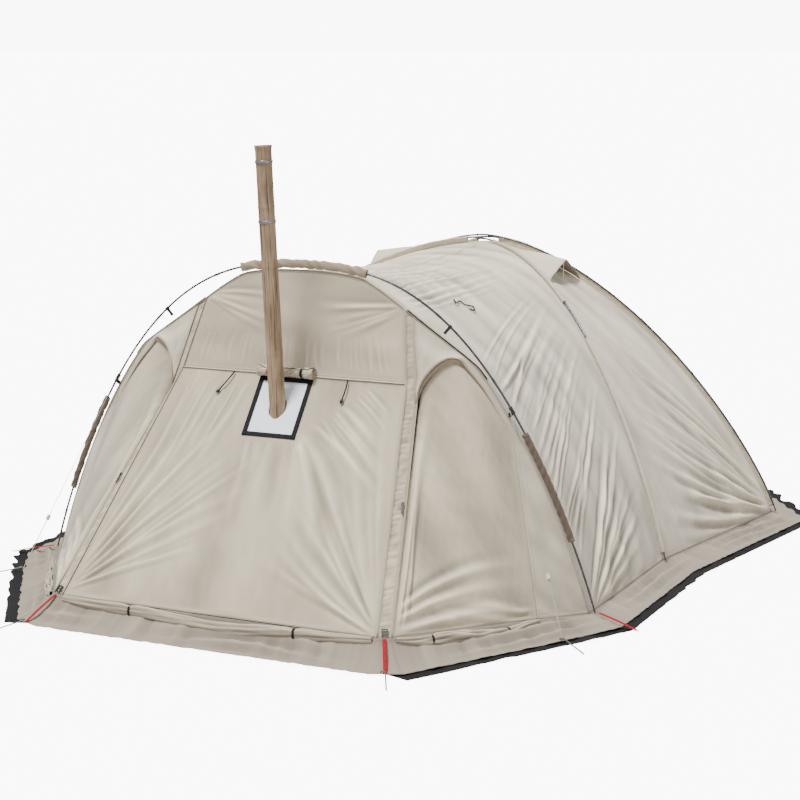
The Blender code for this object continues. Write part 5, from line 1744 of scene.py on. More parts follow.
@dataclass
class FlyRoof:
    """The saddle behind the hoop, the dome's panels, the crown patch and the vent hoods."""

    hood_rise: float = 0.12
    hood_clearance: float = 0.010
    hood_inset: float = 0.035
    hood_top: float = 0.26
    hood_diagonal: float = 0.74
    hood_side: float = 0.63

    def build_mid_panel(self, name: str, side: float) -> None:
        """Make a half of the saddle, with long folds that meet at the hoop's foot.

        Args:
            name: The side's name.
            side: 1 on the right, -1 on the left.
        """
        arm = LINES.fly_arm(LINES.front_foot, side)
        ridge_end = np.array((0.0, -LINES.crown_radius - LINES.crown_clearance, arm[0][2]))
        front, rear = mirrored(LINES.fly_edge, side), np.vstack((ridge_end[None], arm))
        share = np.linspace(0.0, 1.0, 33)[:, None]
        ridge = front[0] + (ridge_end - front[0]) * share
        ridge[:, 2] -= (LINES.ridge_sag * np.sin(math.pi * share))[:, 0]
        foot, hem = front[-1], rear[-1] - front[-1]
        folds = (
            Pulls(along(front, (0.93, 0.45)), along(rear, (0.58, 0.28)), 21, 0.0066, 0.0084, 0.04, 0.9, seed=61),
            Pulls((foot, foot + hem * 0.10), along(rear, (0.60, 0.93)), 15, 0.0076, 0.0080, 0.04, 2.0, seed=62),
            Pulls(along(front, (0.01, 0.27)), (ridge_end, along(rear, 0.24)[0]),
                  16, 0.0068, 0.0088, 0.03, 1.0, seed=65),
            Ripple(0.0040, 0.20, (0.0, 0.2, 1.0), 3.0, seed=68),
            Ripple(0.0010, 0.06, UP, 3.0, seed=69),
        )
        ClothPanel("mid_panel_cloth_" + name, ridge, line(front[-1], rear[-1]), front, rear, (190, 230),
                   LINES.tunnel_heart, folds, pins=(0.03, 0.04, 0.0, 0.04)).lay(ROOF_CLOTH, "mid_panel_" + name)
        seam_tape("dome_front_seam_" + name, rear, LINES.dome_heart)
        seam_tape("hoop_edge_binding_" + name, front, LINES.vestibule_heart, 0.012)
        first, last = (share_where(LINES.fly_edge, x) for x in (0.555, 0.965))
        seam_tape("hoop_edge_web_" + name, mirrored(stretch_of(LINES.fly_edge, first, last), side),
                  LINES.vestibule_heart, 0.013, 0.0050, BLACK_WEB, 0.0028)

    def build_dome_side(self, name: str, side: float) -> None:
        """Make the dome's two panels on a side, and the seams at their edges.

        Args:
            name: The side's name.
            side: 1 on the right, -1 on the left.
        """
        heart, straight = LINES.dome_heart, LINES.fly_arm(LINES.side_foot, side)[::-1]
        for place, corner in (("front", LINES.front_foot), ("rear", LINES.rear_foot)):
            diagonal = LINES.fly_arm(corner, side)[::-1]
            foot = straight[0]
            folds = (
                Pulls((foot, along(straight, 0.05)[0]), along(diagonal, (0.14, 0.68)),
                      19, 0.0105, 0.0086, 0.09, 2.2, seed=71),
                Pulls((foot, foot + (diagonal[0] - foot) * 0.06), along(diagonal, (0.04, 0.2)),
                      6, 0.0100, 0.012, 0.08, 2.4, seed=72),
                Ripple(0.0040, 0.24, UP, 2.6, seed=74 + len(place)),
                Ripple(0.0010, 0.06, UP, 2.4, seed=75),
            )
            ClothPanel(f"dome_{place}_cloth_{name}", line(diagonal[0], straight[0]), line(diagonal[-1], straight[-1]),
                       diagonal, straight, (104, 180), heart, folds,
                       pins=(0.04, 0.04, 0.03, 0.05)).lay(ROOF_CLOTH, f"dome_{place}_side_{name}")
        seam_tape("dome_side_seam_" + name, straight, heart)
        seam_tape("dome_rear_seam_" + name, LINES.fly_arm(LINES.rear_foot, side), heart)

    def build_dome_back(self) -> None:
        """Make the dome's back panel, with folds that rise from both its feet."""
        right = LINES.fly_arm(LINES.rear_foot)[::-1]
        left = mirrored(right, -1.0)
        back = np.array((0.0, LINES.crown_radius + LINES.crown_clearance, right[-1][2]))
        folds = [
            Pulls(along(near, (0.0, 0.06)), (along(far, 0.35)[0], along(near, 0.75)[0]),
                  12, 0.010, 0.011, 0.06, 2.4, seed=seed)
            for near, far, seed in ((left, right, 81), (right, left, 82))
        ]
        folds.append(Ripple(0.004, 0.2, UP, 3.0, seed=83))
        ClothPanel("dome_back_cloth", line(left[0], right[0]), line(left[-1], back, right[-1]), left, right, (150, 150),
                   LINES.dome_heart, folds).lay(ROOF_CLOTH, "dome_back_panel")

    def build_crown(self) -> None:
        """Make the crown patch: a disc whose height falls with the square of its radius."""
        crown = LINES.dome_height - LINES.fly_drop
        sag = crown - LINES.fly_arm(LINES.side_foot)[0][2]
        angle, share = np.meshgrid(np.linspace(0.0, FULL_TURN, 97), np.linspace(0.0, 1.0, 25))
        radius = (LINES.crown_radius + LINES.crown_clearance + 0.004) * share
        height = crown - sag * share ** 2 + 0.0015
        points = np.stack((radius * np.cos(angle), radius * np.sin(angle), height), axis=-1)
        uv = (points[..., :2], paired(radius.max() - radius, 0.5))
        item = GridMesh("crown_cloth", points, uv=uv).build()
        close_up(item)
        face_toward(item)
        wall(item)
        size = 2.0 * float(radius.max())
        DRESS.sheet(item, ROOF_CLOTH, (size, size), nodes=("crown_patch",), area=math.pi * size ** 2 / 4.0)

    @staticmethod
    def share_at(arm: Array, distance: float) -> float:
        """Return the share up a seam at which it is a distance from the tent's axis."""
        reach = reach_of(arm)
        return float(1.0 - np.interp(distance, np.hypot(arm[:, 0], arm[:, 1]), reach) / reach[-1])

    def hood_place(self, side: float, u: Array, v: Array) -> Array:
        """Return a hood's surface: the dome panel's, raised most at the middle of its lower rim.

        Args:
            side: 1 on the right, -1 on the left.
            u: Shares across.
            v: Shares up.

        Returns:
            A point for each pair of shares.
        """
        diagonal, straight = LINES.fly_arm(LINES.front_foot), LINES.fly_arm(LINES.side_foot)
        low = (self.share_at(diagonal, self.hood_diagonal), self.share_at(straight, self.hood_side))
        high = (self.share_at(diagonal, self.hood_top), self.share_at(straight, self.hood_top))
        first, second = mirrored(diagonal[::-1], side), mirrored(straight[::-1], side)
        low_share = low[0] + (low[1] - low[0]) * u
        high_share = high[0] + (high[1] - high[0]) * u
        share = low_share + (high_share - low_share) * v
        near, far = along(first, share), along(second, share)
        span = np.linalg.norm(far - near, axis=1)
        cross = (self.hood_inset / span + (1.0 - 2.0 * self.hood_inset / span) * u)[:, None]
        ground = near + (far - near) * cross
        bulge = (1.0 - np.abs(2.0 * u - 1.0) ** 1.2) * (1.0 - v) ** 1.2
        return ground + UP * (self.hood_clearance + self.hood_rise * bulge)[:, None]

    def build_hood(self, name: str, side: float) -> None:
        """Make a vent hood, whose stiff lower rim stands open over the dome panel.

        Args:
            name: The side's name.
            side: 1 on the right, -1 on the left.
        """
        u, v = grid_shares(70, 50)
        points = self.hood_place(side, u.ravel(), v.ravel()).reshape(*u.shape, 3)
        ripple = Ripple(0.0018, 0.07, (side * 0.7, -0.3, -0.5), 2.4, seed=91)
        points[..., 2] += ripple.height(points.reshape(-1, 3), unit((side * 0.3, -0.2, 1.0))).reshape(u.shape)
        width = float(np.linalg.norm(points[0, -1] - points[0, 0]))
        middle = u.shape[1] // 2
        depth = float(np.linalg.norm(points[-1, middle] - points[0, middle]))
        uv = (paired(u * width, v * depth), paired(np.minimum(u, 1.0 - u) * width, v * depth))
        item = GridMesh("vent_hood_cloth_" + name, points, uv=uv, flip=side > 0.0).build()
        face_toward(item)
        wall(item)
        DRESS.sheet(item, ROOF_CLOTH, (width, depth), nodes=("vent_hood_" + name,), area=grid_area(points))
        # Painted shade: the hood's inner side takes the dark lining colour.
        DRESS.shade_inner_side(item, SHADE_LINING_CLOTH)
        DRESS.node(WHITE_PLASTIC, "vent_strut_" + name)

    def build(self) -> None:
        """Make the whole roof."""
        on_both_sides(self.build_mid_panel, self.build_dome_side)
        self.build_dome_back()
        self.build_crown()
        on_both_sides(self.build_hood)


@dataclass
class Skirts:
    """Snow skirts and the groundsheet that shows beyond them."""

    ruffle: float = 0.020
    corner_run: float = 0.14
    sheet_margin: float = 0.06
    front_width: float = 0.10
    sheet_height: float = 0.003

    @staticmethod
    def sines(random: np.random.Generator, reach: Array, count: int, least: float, pitch: Point) -> Array:
        """Return a sum of sines along a run, whose height, pitch and shift are random.

        Args:
            random: Where the random numbers come from.
            reach: Distances along the run.
            count: How many sines.
            least: The least height, of 1.
            pitch: The least and the greatest pitch.

        Returns:
            A height for each distance.
        """
        return sum(
            random.uniform(least, 1.0) * np.sin(reach * random.uniform(*pitch) + random.uniform(0.0, 6.3))
            for _ in range(count)
        ) / 2.2

    def skirt(self, name: str, run: Sequence[int], seed: int) -> None:
        """Make one skirt along a run of hem corners.

        Across its width it falls steeply, then spreads. Its ruffles are sines along the hem,
        and longer folds run beside the hem: a sharpened sine of the distance from it that drifts.
        They fade out towards both ends, where the next skirt carries on.

        Args:
            name: The model's node that it stands for.
            run: The numbers of its hem corners.
            seed: Seed of its unevenness.
        """
        upper, lower = LINES.hem[list(run)], LINES.skirt_rim[list(run)]
        counts = np.maximum((np.linalg.norm(np.diff(upper, axis=0), axis=1) / 0.012).astype(int), 6)
        shares = [np.linspace(0.0, 1.0, count, endpoint=False)[:, None] for count in counts]
        top, low = (
            np.vstack([a + (b - a) * share for a, b, share in zip(edge[:-1], edge[1:], shares)] + [edge[-1:]])
            for edge in (upper, lower)
        )
        reach = reach_of(top)
        across = np.linspace(0.0, 1.0, 26)[:, None]
        random = np.random.default_rng(seed)
        wave = self.sines(random, reach, 6, 0.5, (18.0, 60.0))
        fine = self.sines(random, reach, 5, 0.4, (70.0, 160.0))
        ease = smoothstep(reach / self.corner_run) * smoothstep((reach[-1] - reach) / self.corner_run)
        wave, fine = wave * ease, fine * ease
        plan = top[None] + (low - top)[None] * (across ** 1.05)[..., None]
        fall = (1.0 - across) ** 1.9
        height = LINES.skirt_foot + (top[None, :, 2] - LINES.skirt_foot) * fall
        drift = across * 17.0 + 2.4 * np.sin(reach * 3.1 + seed)[None] + 0.9 * np.sin(reach * 7.3)[None]
        swell = 0.5 + 0.5 * np.sin(reach * 5.3 + 2.0 * seed)[None]
        lengthwise = (1.0 - 2.0 * np.abs(np.sin(drift / 2.0)) ** 0.7) * swell * ease
        rise = 0.55 + 0.20 * wave[None] + 0.08 * fine[None] + 0.75 * lengthwise
        lift = self.ruffle * rise * np.sin(math.pi * across ** 0.8) ** 0.8
        lift = lift + 0.0045 * (1.0 + wave[None] * 0.8) * across ** 3
        points = np.dstack((plan[..., 0], plan[..., 1], height + np.maximum(lift, 0.0)))
        outward = rows_unit((low - top) * (1.0 - UP))
        points[..., :2] += outward[:, :2] * ((0.006 * wave + 0.003 * fine) * across ** 2)[..., None]
        width = float(np.linalg.norm(low - top, axis=1).mean())
        # Relief here drives painted shade and highlight along the ruffles and folds, and a painted shadow darkens the
        # band just under the hem.
        relief = (0.26 * wave + 0.12 * fine)[None] + 0.85 * lengthwise
        relief = relief * np.sin(math.pi * across ** 0.8) - 0.7 * (1.0 - smoothstep(across / 0.25))
        uv = (paired(reach, across * width),
              paired(np.full(len(reach), 0.5), np.minimum(across, 1.0 - across) * width))
        item = GridMesh(name + "_cloth", points, uv=uv, relief=relief).build()
        face_toward(item)
        wall(item)
        DRESS.sheet(item, SHADED_SKIRT_CLOTH, (width, float(reach[-1])), Hold.LAID, nodes=(name,))

    def groundsheet(self) -> None:
        """Make the groundsheet: rings from its middle out to a ragged edge that curls up a little."""
        widths = np.full(len(LINES.hem), LINES.skirt_width + self.sheet_margin)
        widths[[0, -1]] = self.front_width
        rim = LINES.outset(widths, 0.0)
        path = stretch_of(np.vstack((rim, rim[:1])), count=1201)[:-1]
        centre = -Y_AXIS
        random = np.random.default_rng(101)
        turn = np.linspace(0.0, FULL_TURN, len(path), endpoint=False)
        ragged = sum(
            random.uniform(0.5, 1.0) * np.sin(turn * random.integers(24, 120) + random.uniform(0.0, 6.3))
            for _ in range(9)
        ) / 3.0
        side_share = smoothstep((path[:, 1] + 3.35) / 0.25)
        share = np.concatenate((np.linspace(0.05, 0.84, 3), np.linspace(0.87, 1.0, 14)))[:, None, None]
        out = rows_unit(path - centre)
        rings = centre + (path - centre)[None] * share
        rings = rings + out[None] * ((ragged * 0.011 * side_share)[None, :, None] * smoothstep((share - 0.9) / 0.1))
        curl = smoothstep((share[..., 0] - 0.981) / 0.019) * (0.006 + 0.006 * ragged[None]) * side_share[None]
        rings[..., 2] = self.sheet_height + np.maximum(curl, 0.0)
        flat = np.stack((rings[..., 0], rings[..., 1]), axis=-1)
        item = GridMesh("groundsheet_cloth", rings, wrap_u=True, uv=(flat, flat)).build()
        face_toward(item)
        with mesh_work(item) as work:
            face = work.faces.new([work.verts[index] for index in range(len(path))])
            face.normal_update()
            if face.normal.z < 0.0:
                face.normal_flip()
        wall(item)
        x, y = path[:, 0], path[:, 1]
        area = 0.5 * abs(float(np.sum(x * np.roll(y, -1) - np.roll(x, -1) * y)))
        size = np.ptp(path, axis=0)
        DRESS.sheet(item, BLACK_SHEET, (float(size[0]), float(size[1])), Hold.LAID, nodes=("groundsheet",), area=area)

    def build(self) -> None:
        """Make the skirts and the groundsheet."""
        self.skirt("skirt_front", (-2, -1, 0, 1), 111)
        self.skirt("skirt_right", (1, 2, 3, 4, 5, 6), 112)
        self.skirt("skirt_back", (6, 7), 113)
        self.skirt("skirt_left", (7, 8, 9, 10, 11, 12), 114)
        self.groundsheet()


@dataclass
class Poles:
    """The hoop and dome poles with their ferrules, and the cloth sleeves on the hoop."""

    diameter: float = 0.011
    stack: float = 0.0125
    tip: float = 0.05
    section_length: float = 0.42
    sleeve_half_height: float = 0.022
    sleeve_half_depth: float = 0.011

    def pole(self, name: str, path: Array, across: Array) -> None:
        """Make a smooth pole, wider at the ferrule where each section meets the next.

        Args:
            name: The model's node that it stands for.
            path: Its centre line.
            across: The direction across its curve.
        """
        path = smooth_path(path, int(length_of(path) / 0.01))
        path = stretch_of(path, count=len(path))
        reach = np.linspace(0.0, length_of(path), len(path))
        near = np.abs((reach - 0.2) % self.section_length)
        scale = 1.0 + 0.16 * smoothstep((0.035 - near) / 0.006)
        ends = np.minimum(reach, reach[-1] - reach)
        scale = np.where(ends < self.tip, 0.72, scale)
        item = swept(name + "_tube", path, across, circle(self.diameter / 2.0, 16), scale)
        DRESS.dress(item, POLE_METAL, nodes=(name,))

    def build_poles(self) -> None:
        """Make the four poles."""
        self.pole("hoop_pole", arched(LINES.hoop_half), Y_AXIS)
        front, rear, straight = LINES.front_foot, LINES.rear_foot, LINES.side_foot
        for name, right, left, lift in (
            ("dome_pole_lower", front, rear, -self.stack),
            ("dome_pole_middle", rear, front, 0.0),
            ("side_pole_upper", straight, straight, self.stack),
        ):
            path = arched(self.dome_line(right, lift), self.dome_line(left, lift))
            self.pole(name, path, unit(np.cross((*right, 0.0), UP)))

    def dome_line(self, foot: Point, lift: float) -> Array:
        """Return the centre line of one dome pole arm, lifted most at the crown.

        Args:
            foot: The foot's place on the ground.
            lift: Its lift at the crown.

        Returns:
            Rows of points.
        """
        low = LINES.foot_height
        arm = stretch_of(LINES.dome_arm(foot, low), count=LINES.pole_points)
        arm[:, 2] += lift * (arm[:, 2] - low) / (LINES.dome_height - low)
        return arm

    def build_dome_sleeves(self) -> None:
        """Make the pale sleeves that run from the fly's diagonal seams up round the dome poles.

        The section is a drop: its tip meets the seam and its round head holds the pole.
        """
        turn = np.linspace(-0.30 * math.pi, 1.30 * math.pi, 19)
        head = np.column_stack((0.0085 * np.cos(turn), 0.0085 * np.sin(turn)))
        drop = LINES.fly_drop - 0.003
        section = np.vstack((head, ((-0.0035, -0.6 * drop), (-0.0012, -drop), (0.0012, -drop), (0.0035, -0.6 * drop))))
        girth = float(np.linalg.norm(section - np.roll(section, 1, axis=0), axis=1).sum())
        arms = {"front": (LINES.front_foot, ((0.04, 0.375), (0.49, 0.985))),
                "rear": (LINES.rear_foot, ((0.04, 0.985),))}
        random = np.random.default_rng(141)
        for place, (foot, runs) in arms.items():
            for name, side in SIDES.items():
                lift = -self.stack if (place == "front") == (side > 0.0) else 0.0
                arm = mirrored(self.dome_line(foot, lift), side)
                for index, (first, last) in enumerate(runs):
                    path = smooth_path(stretch_of(arm, first, last, 25), 150)
                    reach = np.linspace(0.0, length_of(path), len(path))
                    scale = 1.0 + sum(0.035 * np.sin(reach * random.uniform(25.0, 110.0) + random.uniform(0.0, 6.3))
                                      for _ in range(4))
                    item = swept(f"dome_sleeve_{place}_{name}_{index}", path, path - LINES.dome_heart, section,
                                 scale, capped=False)
                    wall(item, 0.0008)
                    DRESS.sheet(item, TAPE_CLOTH, (girth, float(reach[-1])))

    def sleeve(self, name: str, path: Array, finish: Finish, slim: float = 1.0) -> None:
        """Make a sleeve round the pole: an oval tube, puckered along its length.

        Args:
            name: The model's node that it stands for.
            path: Its centre line.
            finish: Its finish.
            slim: A factor on its section.
        """
        path = stretch_of(path, count=90)
        side, face = frames_along(path, Y_AXIS)
        angle = np.linspace(0.0, FULL_TURN, 41)[:-1]
        reach = np.linspace(0.0, length_of(path), len(path))[:, None]
        random = np.random.default_rng(len(name))
        pucker = slim ** 2 * sum(
            0.0016 * np.sin(reach * random.uniform(60.0, 170.0) + angle * random.integers(1, 4)
                            + random.uniform(0.0, 6.3))
            for _ in range(4)
        )
        half_height, half_depth = self.sleeve_half_height * slim, self.sleeve_half_depth * max(slim, 0.8)
        points = (path[:, None] + side[:, None] * ((half_height + pucker * 0.8) * np.cos(angle))[..., None]
                  + face[:, None] * ((half_depth + pucker * 0.4) * np.sin(angle))[..., None])
        uv = (paired(angle * self.sleeve_half_height, reach),
              paired(np.full(len(angle), 0.5), np.minimum(reach, reach[-1] - reach)))
        item = GridMesh(name + "_cloth", points, wrap_u=True, uv=uv).build()
        middle = np.array(item.data.polygons[len(item.data.polygons) // 2].center)
        face_toward(item, middle - path[np.linalg.norm(path - middle, axis=1).argmin()])
        wall(item, 0.001)
        girth = FULL_TURN * math.sqrt((half_height ** 2 + half_depth ** 2) / 2.0)
        DRESS.sheet(item, finish, (girth, float(reach[-1, 0])), nodes=(name,))

    def build_sleeves(self) -> None:
        """Make the sleeve at the apex and one on each leg."""
        self.sleeve("hoop_top_sleeve", arched(stretch_of(LINES.hoop_half, 0.0, 0.145, 33)), CREST_CLOTH)
        for name, side in SIDES.items():
            leg = mirrored(stretch_of(LINES.hoop_half, 0.615, 0.85, 33), side)
            self.sleeve("hoop_sleeve_" + name, leg, SLEEVE_CLOTH, slim=0.8)

    def build_pole_webs(self) -> None:
        """Make the narrow fin of cloth between the side pole and the fly's seam under it."""
        for name, side in SIDES.items():
            first = stretch_of(mirrored(self.dome_line(LINES.side_foot, self.stack), side), 0.05, 0.985, 129)
            seam = stretch_of(LINES.fly_arm(LINES.side_foot, side), count=600)
            second = seam[np.linalg.norm(first[:, None] - seam[None], axis=2).argmin(axis=1)]
            first = first + rows_unit(second - first) * (self.diameter * 0.2)
            ClothPanel("side_pole_fin_" + name, second, first, line(second[0], first[0]), line(second[-1], first[-1]),
                       (200, 6), LINES.dome_heart + Y_AXIS * 4.0,
                       (Ripple(0.0010, 0.05, (1.0, 0.0, 1.0), 1.0, seed=145),), pins=(0.0,) * 4).lay(ROOF_CLOTH)

    def build(self) -> None:
        """Make poles and sleeves."""
        self.build_pole_webs()
        self.build_poles()
        self.build_sleeves()
        self.build_dome_sleeves()


@dataclass
class StovePipe:
    """The leaning pipe, its clamps, the jack round it and the stove below."""

    vestibule: Vestibule
    radius: float = 0.040
    bore: float = 0.0385
    top: float = 2.24
    stove_top: float = 0.40
    lean_degrees: float = 2.84
    clamp_drops: tuple = (0.085, 0.37)
    binding: float = 0.024
    hole_gap: float = 0.006
    flap_radius: float = 0.021
    flap_length: float = 0.30
    flap_gap: float = 0.003

    def axis(self) -> Matrix:
        """Return the pipe's frame at the jack, Z along the pipe."""
        centre = Vector(self.vestibule.jack_axes()[0])
        return Matrix.Translation(centre) @ Matrix.Rotation(-math.radians(self.lean_degrees), 4, "Y")

    def at(self, height: float) -> Matrix:
        """Return the pipe's frame at a height above the ground.

        Args:
            height: A height in metres.

        Returns:
            The frame.
        """
        matrix = self.axis()
        run = matrix.to_3x3() @ Vector(UP)
        matrix.translation += run * ((height - matrix.translation.z) / run.z)
        return matrix

    def build_pipe(self) -> None:
        """Turn the pipe's profile: swaged joints at each section and a rolled top edge."""
        foot = self.at(self.stove_top + self.radius * math.sin(math.radians(self.lean_degrees)) + 0.0005)
        length = (self.at(self.top).translation - foot.translation).length
        run = np.linspace(0.0, length, 240)
        swell = sum(0.0016 * np.exp(-(((run - joint) / 0.007) ** 2)) for joint in (0.42, 0.84, 1.26, 1.545))
        flare = 0.0035 * smoothstep((run - length + 0.03) / 0.03)
        outer = np.column_stack((self.radius + swell + flare, run))
        inner = np.column_stack((self.bore + flare, run))[::-1]
        tube = lathe("stove_pipe_tube", np.vstack((outer, inner)), foot)
        DRESS.dress(tube, PIPE_FINISH, Body.PIPE.value, ("stove_pipe",))
        band = np.array(((0.0, 0.0), (0.002, 0.0), (0.0034, 0.0012), (0.0034, 0.0040), (0.0022, 0.0052),
                         (0.0022, 0.0088), (0.0034, 0.0100), (0.0034, 0.0128), (0.002, 0.0140), (0.0, 0.0140)))
        for name, drop in zip(("upper", "lower"), self.clamp_drops):
            ring = lathe("pipe_clamp_band_" + name, band + (self.radius + 0.0006, 0.0), self.at(self.top - drop))
            DRESS.dress(ring, STEEL, Body.PIPE.value, ("pipe_clamp_" + name,))
        DRESS.node(STEEL, "pipe_damper")
        DRESS.node(STOVE_PAINT, "stove_body", "stove_door")

    def build_jack(self) -> None:
        """Make the jack's pale sheet with its oval hole, inside its bound frame."""
        centre, upward, outward = self.vestibule.jack_axes()
        half_x, half_y = self.vestibule.jack_width / 2.0, self.vestibule.jack_length / 2.0
        inner_x, inner_y = half_x - self.binding + 0.003, half_y - self.binding + 0.003
        hole_x = self.radius + self.hole_gap
        hole_y = min(hole_x / abs(float(upward[2])), inner_y * 0.6)
        angle = np.linspace(0.0, FULL_TURN, 161)
        share = np.linspace(0.0, 1.0, 40)[:, None]
        reach = 1.0 / np.maximum(np.abs(np.cos(angle)) / inner_x, np.abs(np.sin(angle)) / inner_y)
        flat_x = hole_x * np.cos(angle) * (1.0 - share) + reach * np.cos(angle) * share
        flat_y = hole_y * np.sin(angle) * (1.0 - share) + reach * np.sin(angle) * share
        base = centre + flat_x[..., None] * X_AXIS + flat_y[..., None] * upward
        ripple = Ripple(0.0014, 0.07, (0.3, 0.3, 1.0), 1.6, seed=121)
        lift = ripple.height(base.reshape(-1, 3), outward).reshape(flat_x.shape) * np.sin(math.pi * share)
        cloth = paired(flat_x, flat_y)
        item = GridMesh("jack_glass_cloth", base + outward * (lift + 0.0004)[..., None], uv=(cloth, cloth)).build()
        close_up(item)
        face_toward(item, outward)
        wall(item, 0.0012)
        size = (2.0 * inner_x, 2.0 * inner_y)
        DRESS.sheet(item, GLASS_CLOTH, size, nodes=("jack_sheet",),
                    area=size[0] * size[1] - math.pi * hole_x * hole_y)

    def build_frame(self) -> None:
        """Bind the jack's opening with four bands that cross at its corners."""
        centre, upward, outward = self.vestibule.jack_axes()
        mid_x = self.vestibule.jack_width / 2.0 - self.binding / 2.0
        mid_y = self.vestibule.jack_length / 2.0 - self.binding / 2.0
        corners = np.array(((-mid_x, -mid_y), (mid_x, -mid_y), (mid_x, mid_y), (-mid_x, mid_y)))
        for index, (first, last) in enumerate(zip(corners, np.roll(corners, -1, axis=0))):
            step = unit(last - first) * (self.binding / 2.0)
            ends = [centre + x * X_AXIS + y * upward for x, y in (first - step, last + step)]
            path = stretch_of(line(*ends), count=24) + outward * (0.0028 + 0.0006 * (index % 2))
            band = swept(f"jack_binding_band_{index}", path, outward, slab(self.binding, 0.0026))
            DRESS.dress(band, BLACK_WEB, nodes=("jack_binding",) if index == 0 else ())

    def build_flap(self) -> None:
        """Roll the jack's flap: an Archimedes spiral carried across, with slack in the roll."""
        _, seam, shoulder = LINES.corner_points(1.0)
        outward = self.vestibule.jack_axes()[2]
        gable = unit(np.cross((1.0, 0.0, 0.0), (0.0, *(shoulder - seam)[1:])))
        between = unit(outward + gable)
        reach = (self.flap_radius + self.flap_gap) / float(between @ gable)
        centre = np.array((self.vestibule.jack_offset, seam[1], seam[2])) + between * (reach + 0.006)
        turns = np.linspace(0.6, 6.6 * math.pi, 260)
        radius = self.flap_radius * (0.18 + 0.80 * turns / turns[-1])
        stations = np.linspace(-0.5, 0.5, 60)
        random = np.random.default_rng(131)
        sag = 0.0016 * np.sin(stations * 17.0) + 0.0012 * np.sin(stations * 41.0 + 1.0)
        squeeze = 1.0 - 0.16 * np.exp(-(((np.abs(stations) - 0.30) / 0.035) ** 2))
        wave = 1.0 + sum(
            random.uniform(0.03, 0.08) * np.sin(stations[:, None] * random.uniform(8.0, 50.0) + count * turns[None]
                                                + random.uniform(0.0, 6.0))
            for count in (1, 2, 3, 5)
        )
        bulk = 1.22 + 0.30 * np.abs(stations * 2.0) ** 3
        ring = radius[None] * (squeeze * bulk)[:, None] * wave
        x = np.broadcast_to((stations * self.flap_length)[:, None], ring.shape) + centre[0]
        y = centre[1] + ring * np.cos(turns)
        z = centre[2] + ring * np.sin(turns) + sag[:, None]
        points = np.stack((x, y, z), axis=-1)
        cloth = paired(stations[:, None] * self.flap_length, turns * radius)
        item = GridMesh("jack_flap_cloth", points, uv=(cloth, cloth)).build()
        wall(item, 0.0010)
        DRESS.sheet(item, FRONT_CLOTH, (self.flap_length, length_of(points[30])), Hold.LAID, nodes=("jack_flap_roll",))
        # Painted shade: the flap's inner turns take the dark lining colour.
        DRESS.shade_inner_side(item, SHADE_LINING_CLOTH)
        angle = np.linspace(0.0, FULL_TURN, 41)
        ring = np.column_stack((np.zeros(41), np.cos(angle), np.sin(angle)))
        for index, (share, finish) in enumerate(((-0.30, RED_WEB), (0.30, BLACK_WEB))):
            middle = centre + X_AXIS * (share * self.flap_length)
            tie = middle + ring * (self.flap_radius * 1.10)
            DRESS.dress(swept(f"jack_flap_tie_{index}", tie, tie - middle, slab(0.012, 0.0016)), finish)

    def build(self) -> None:
        """Make the pipe, the jack, its frame and its flap."""
        self.build_pipe()
        self.build_jack()
        self.build_frame()
        self.build_flap()


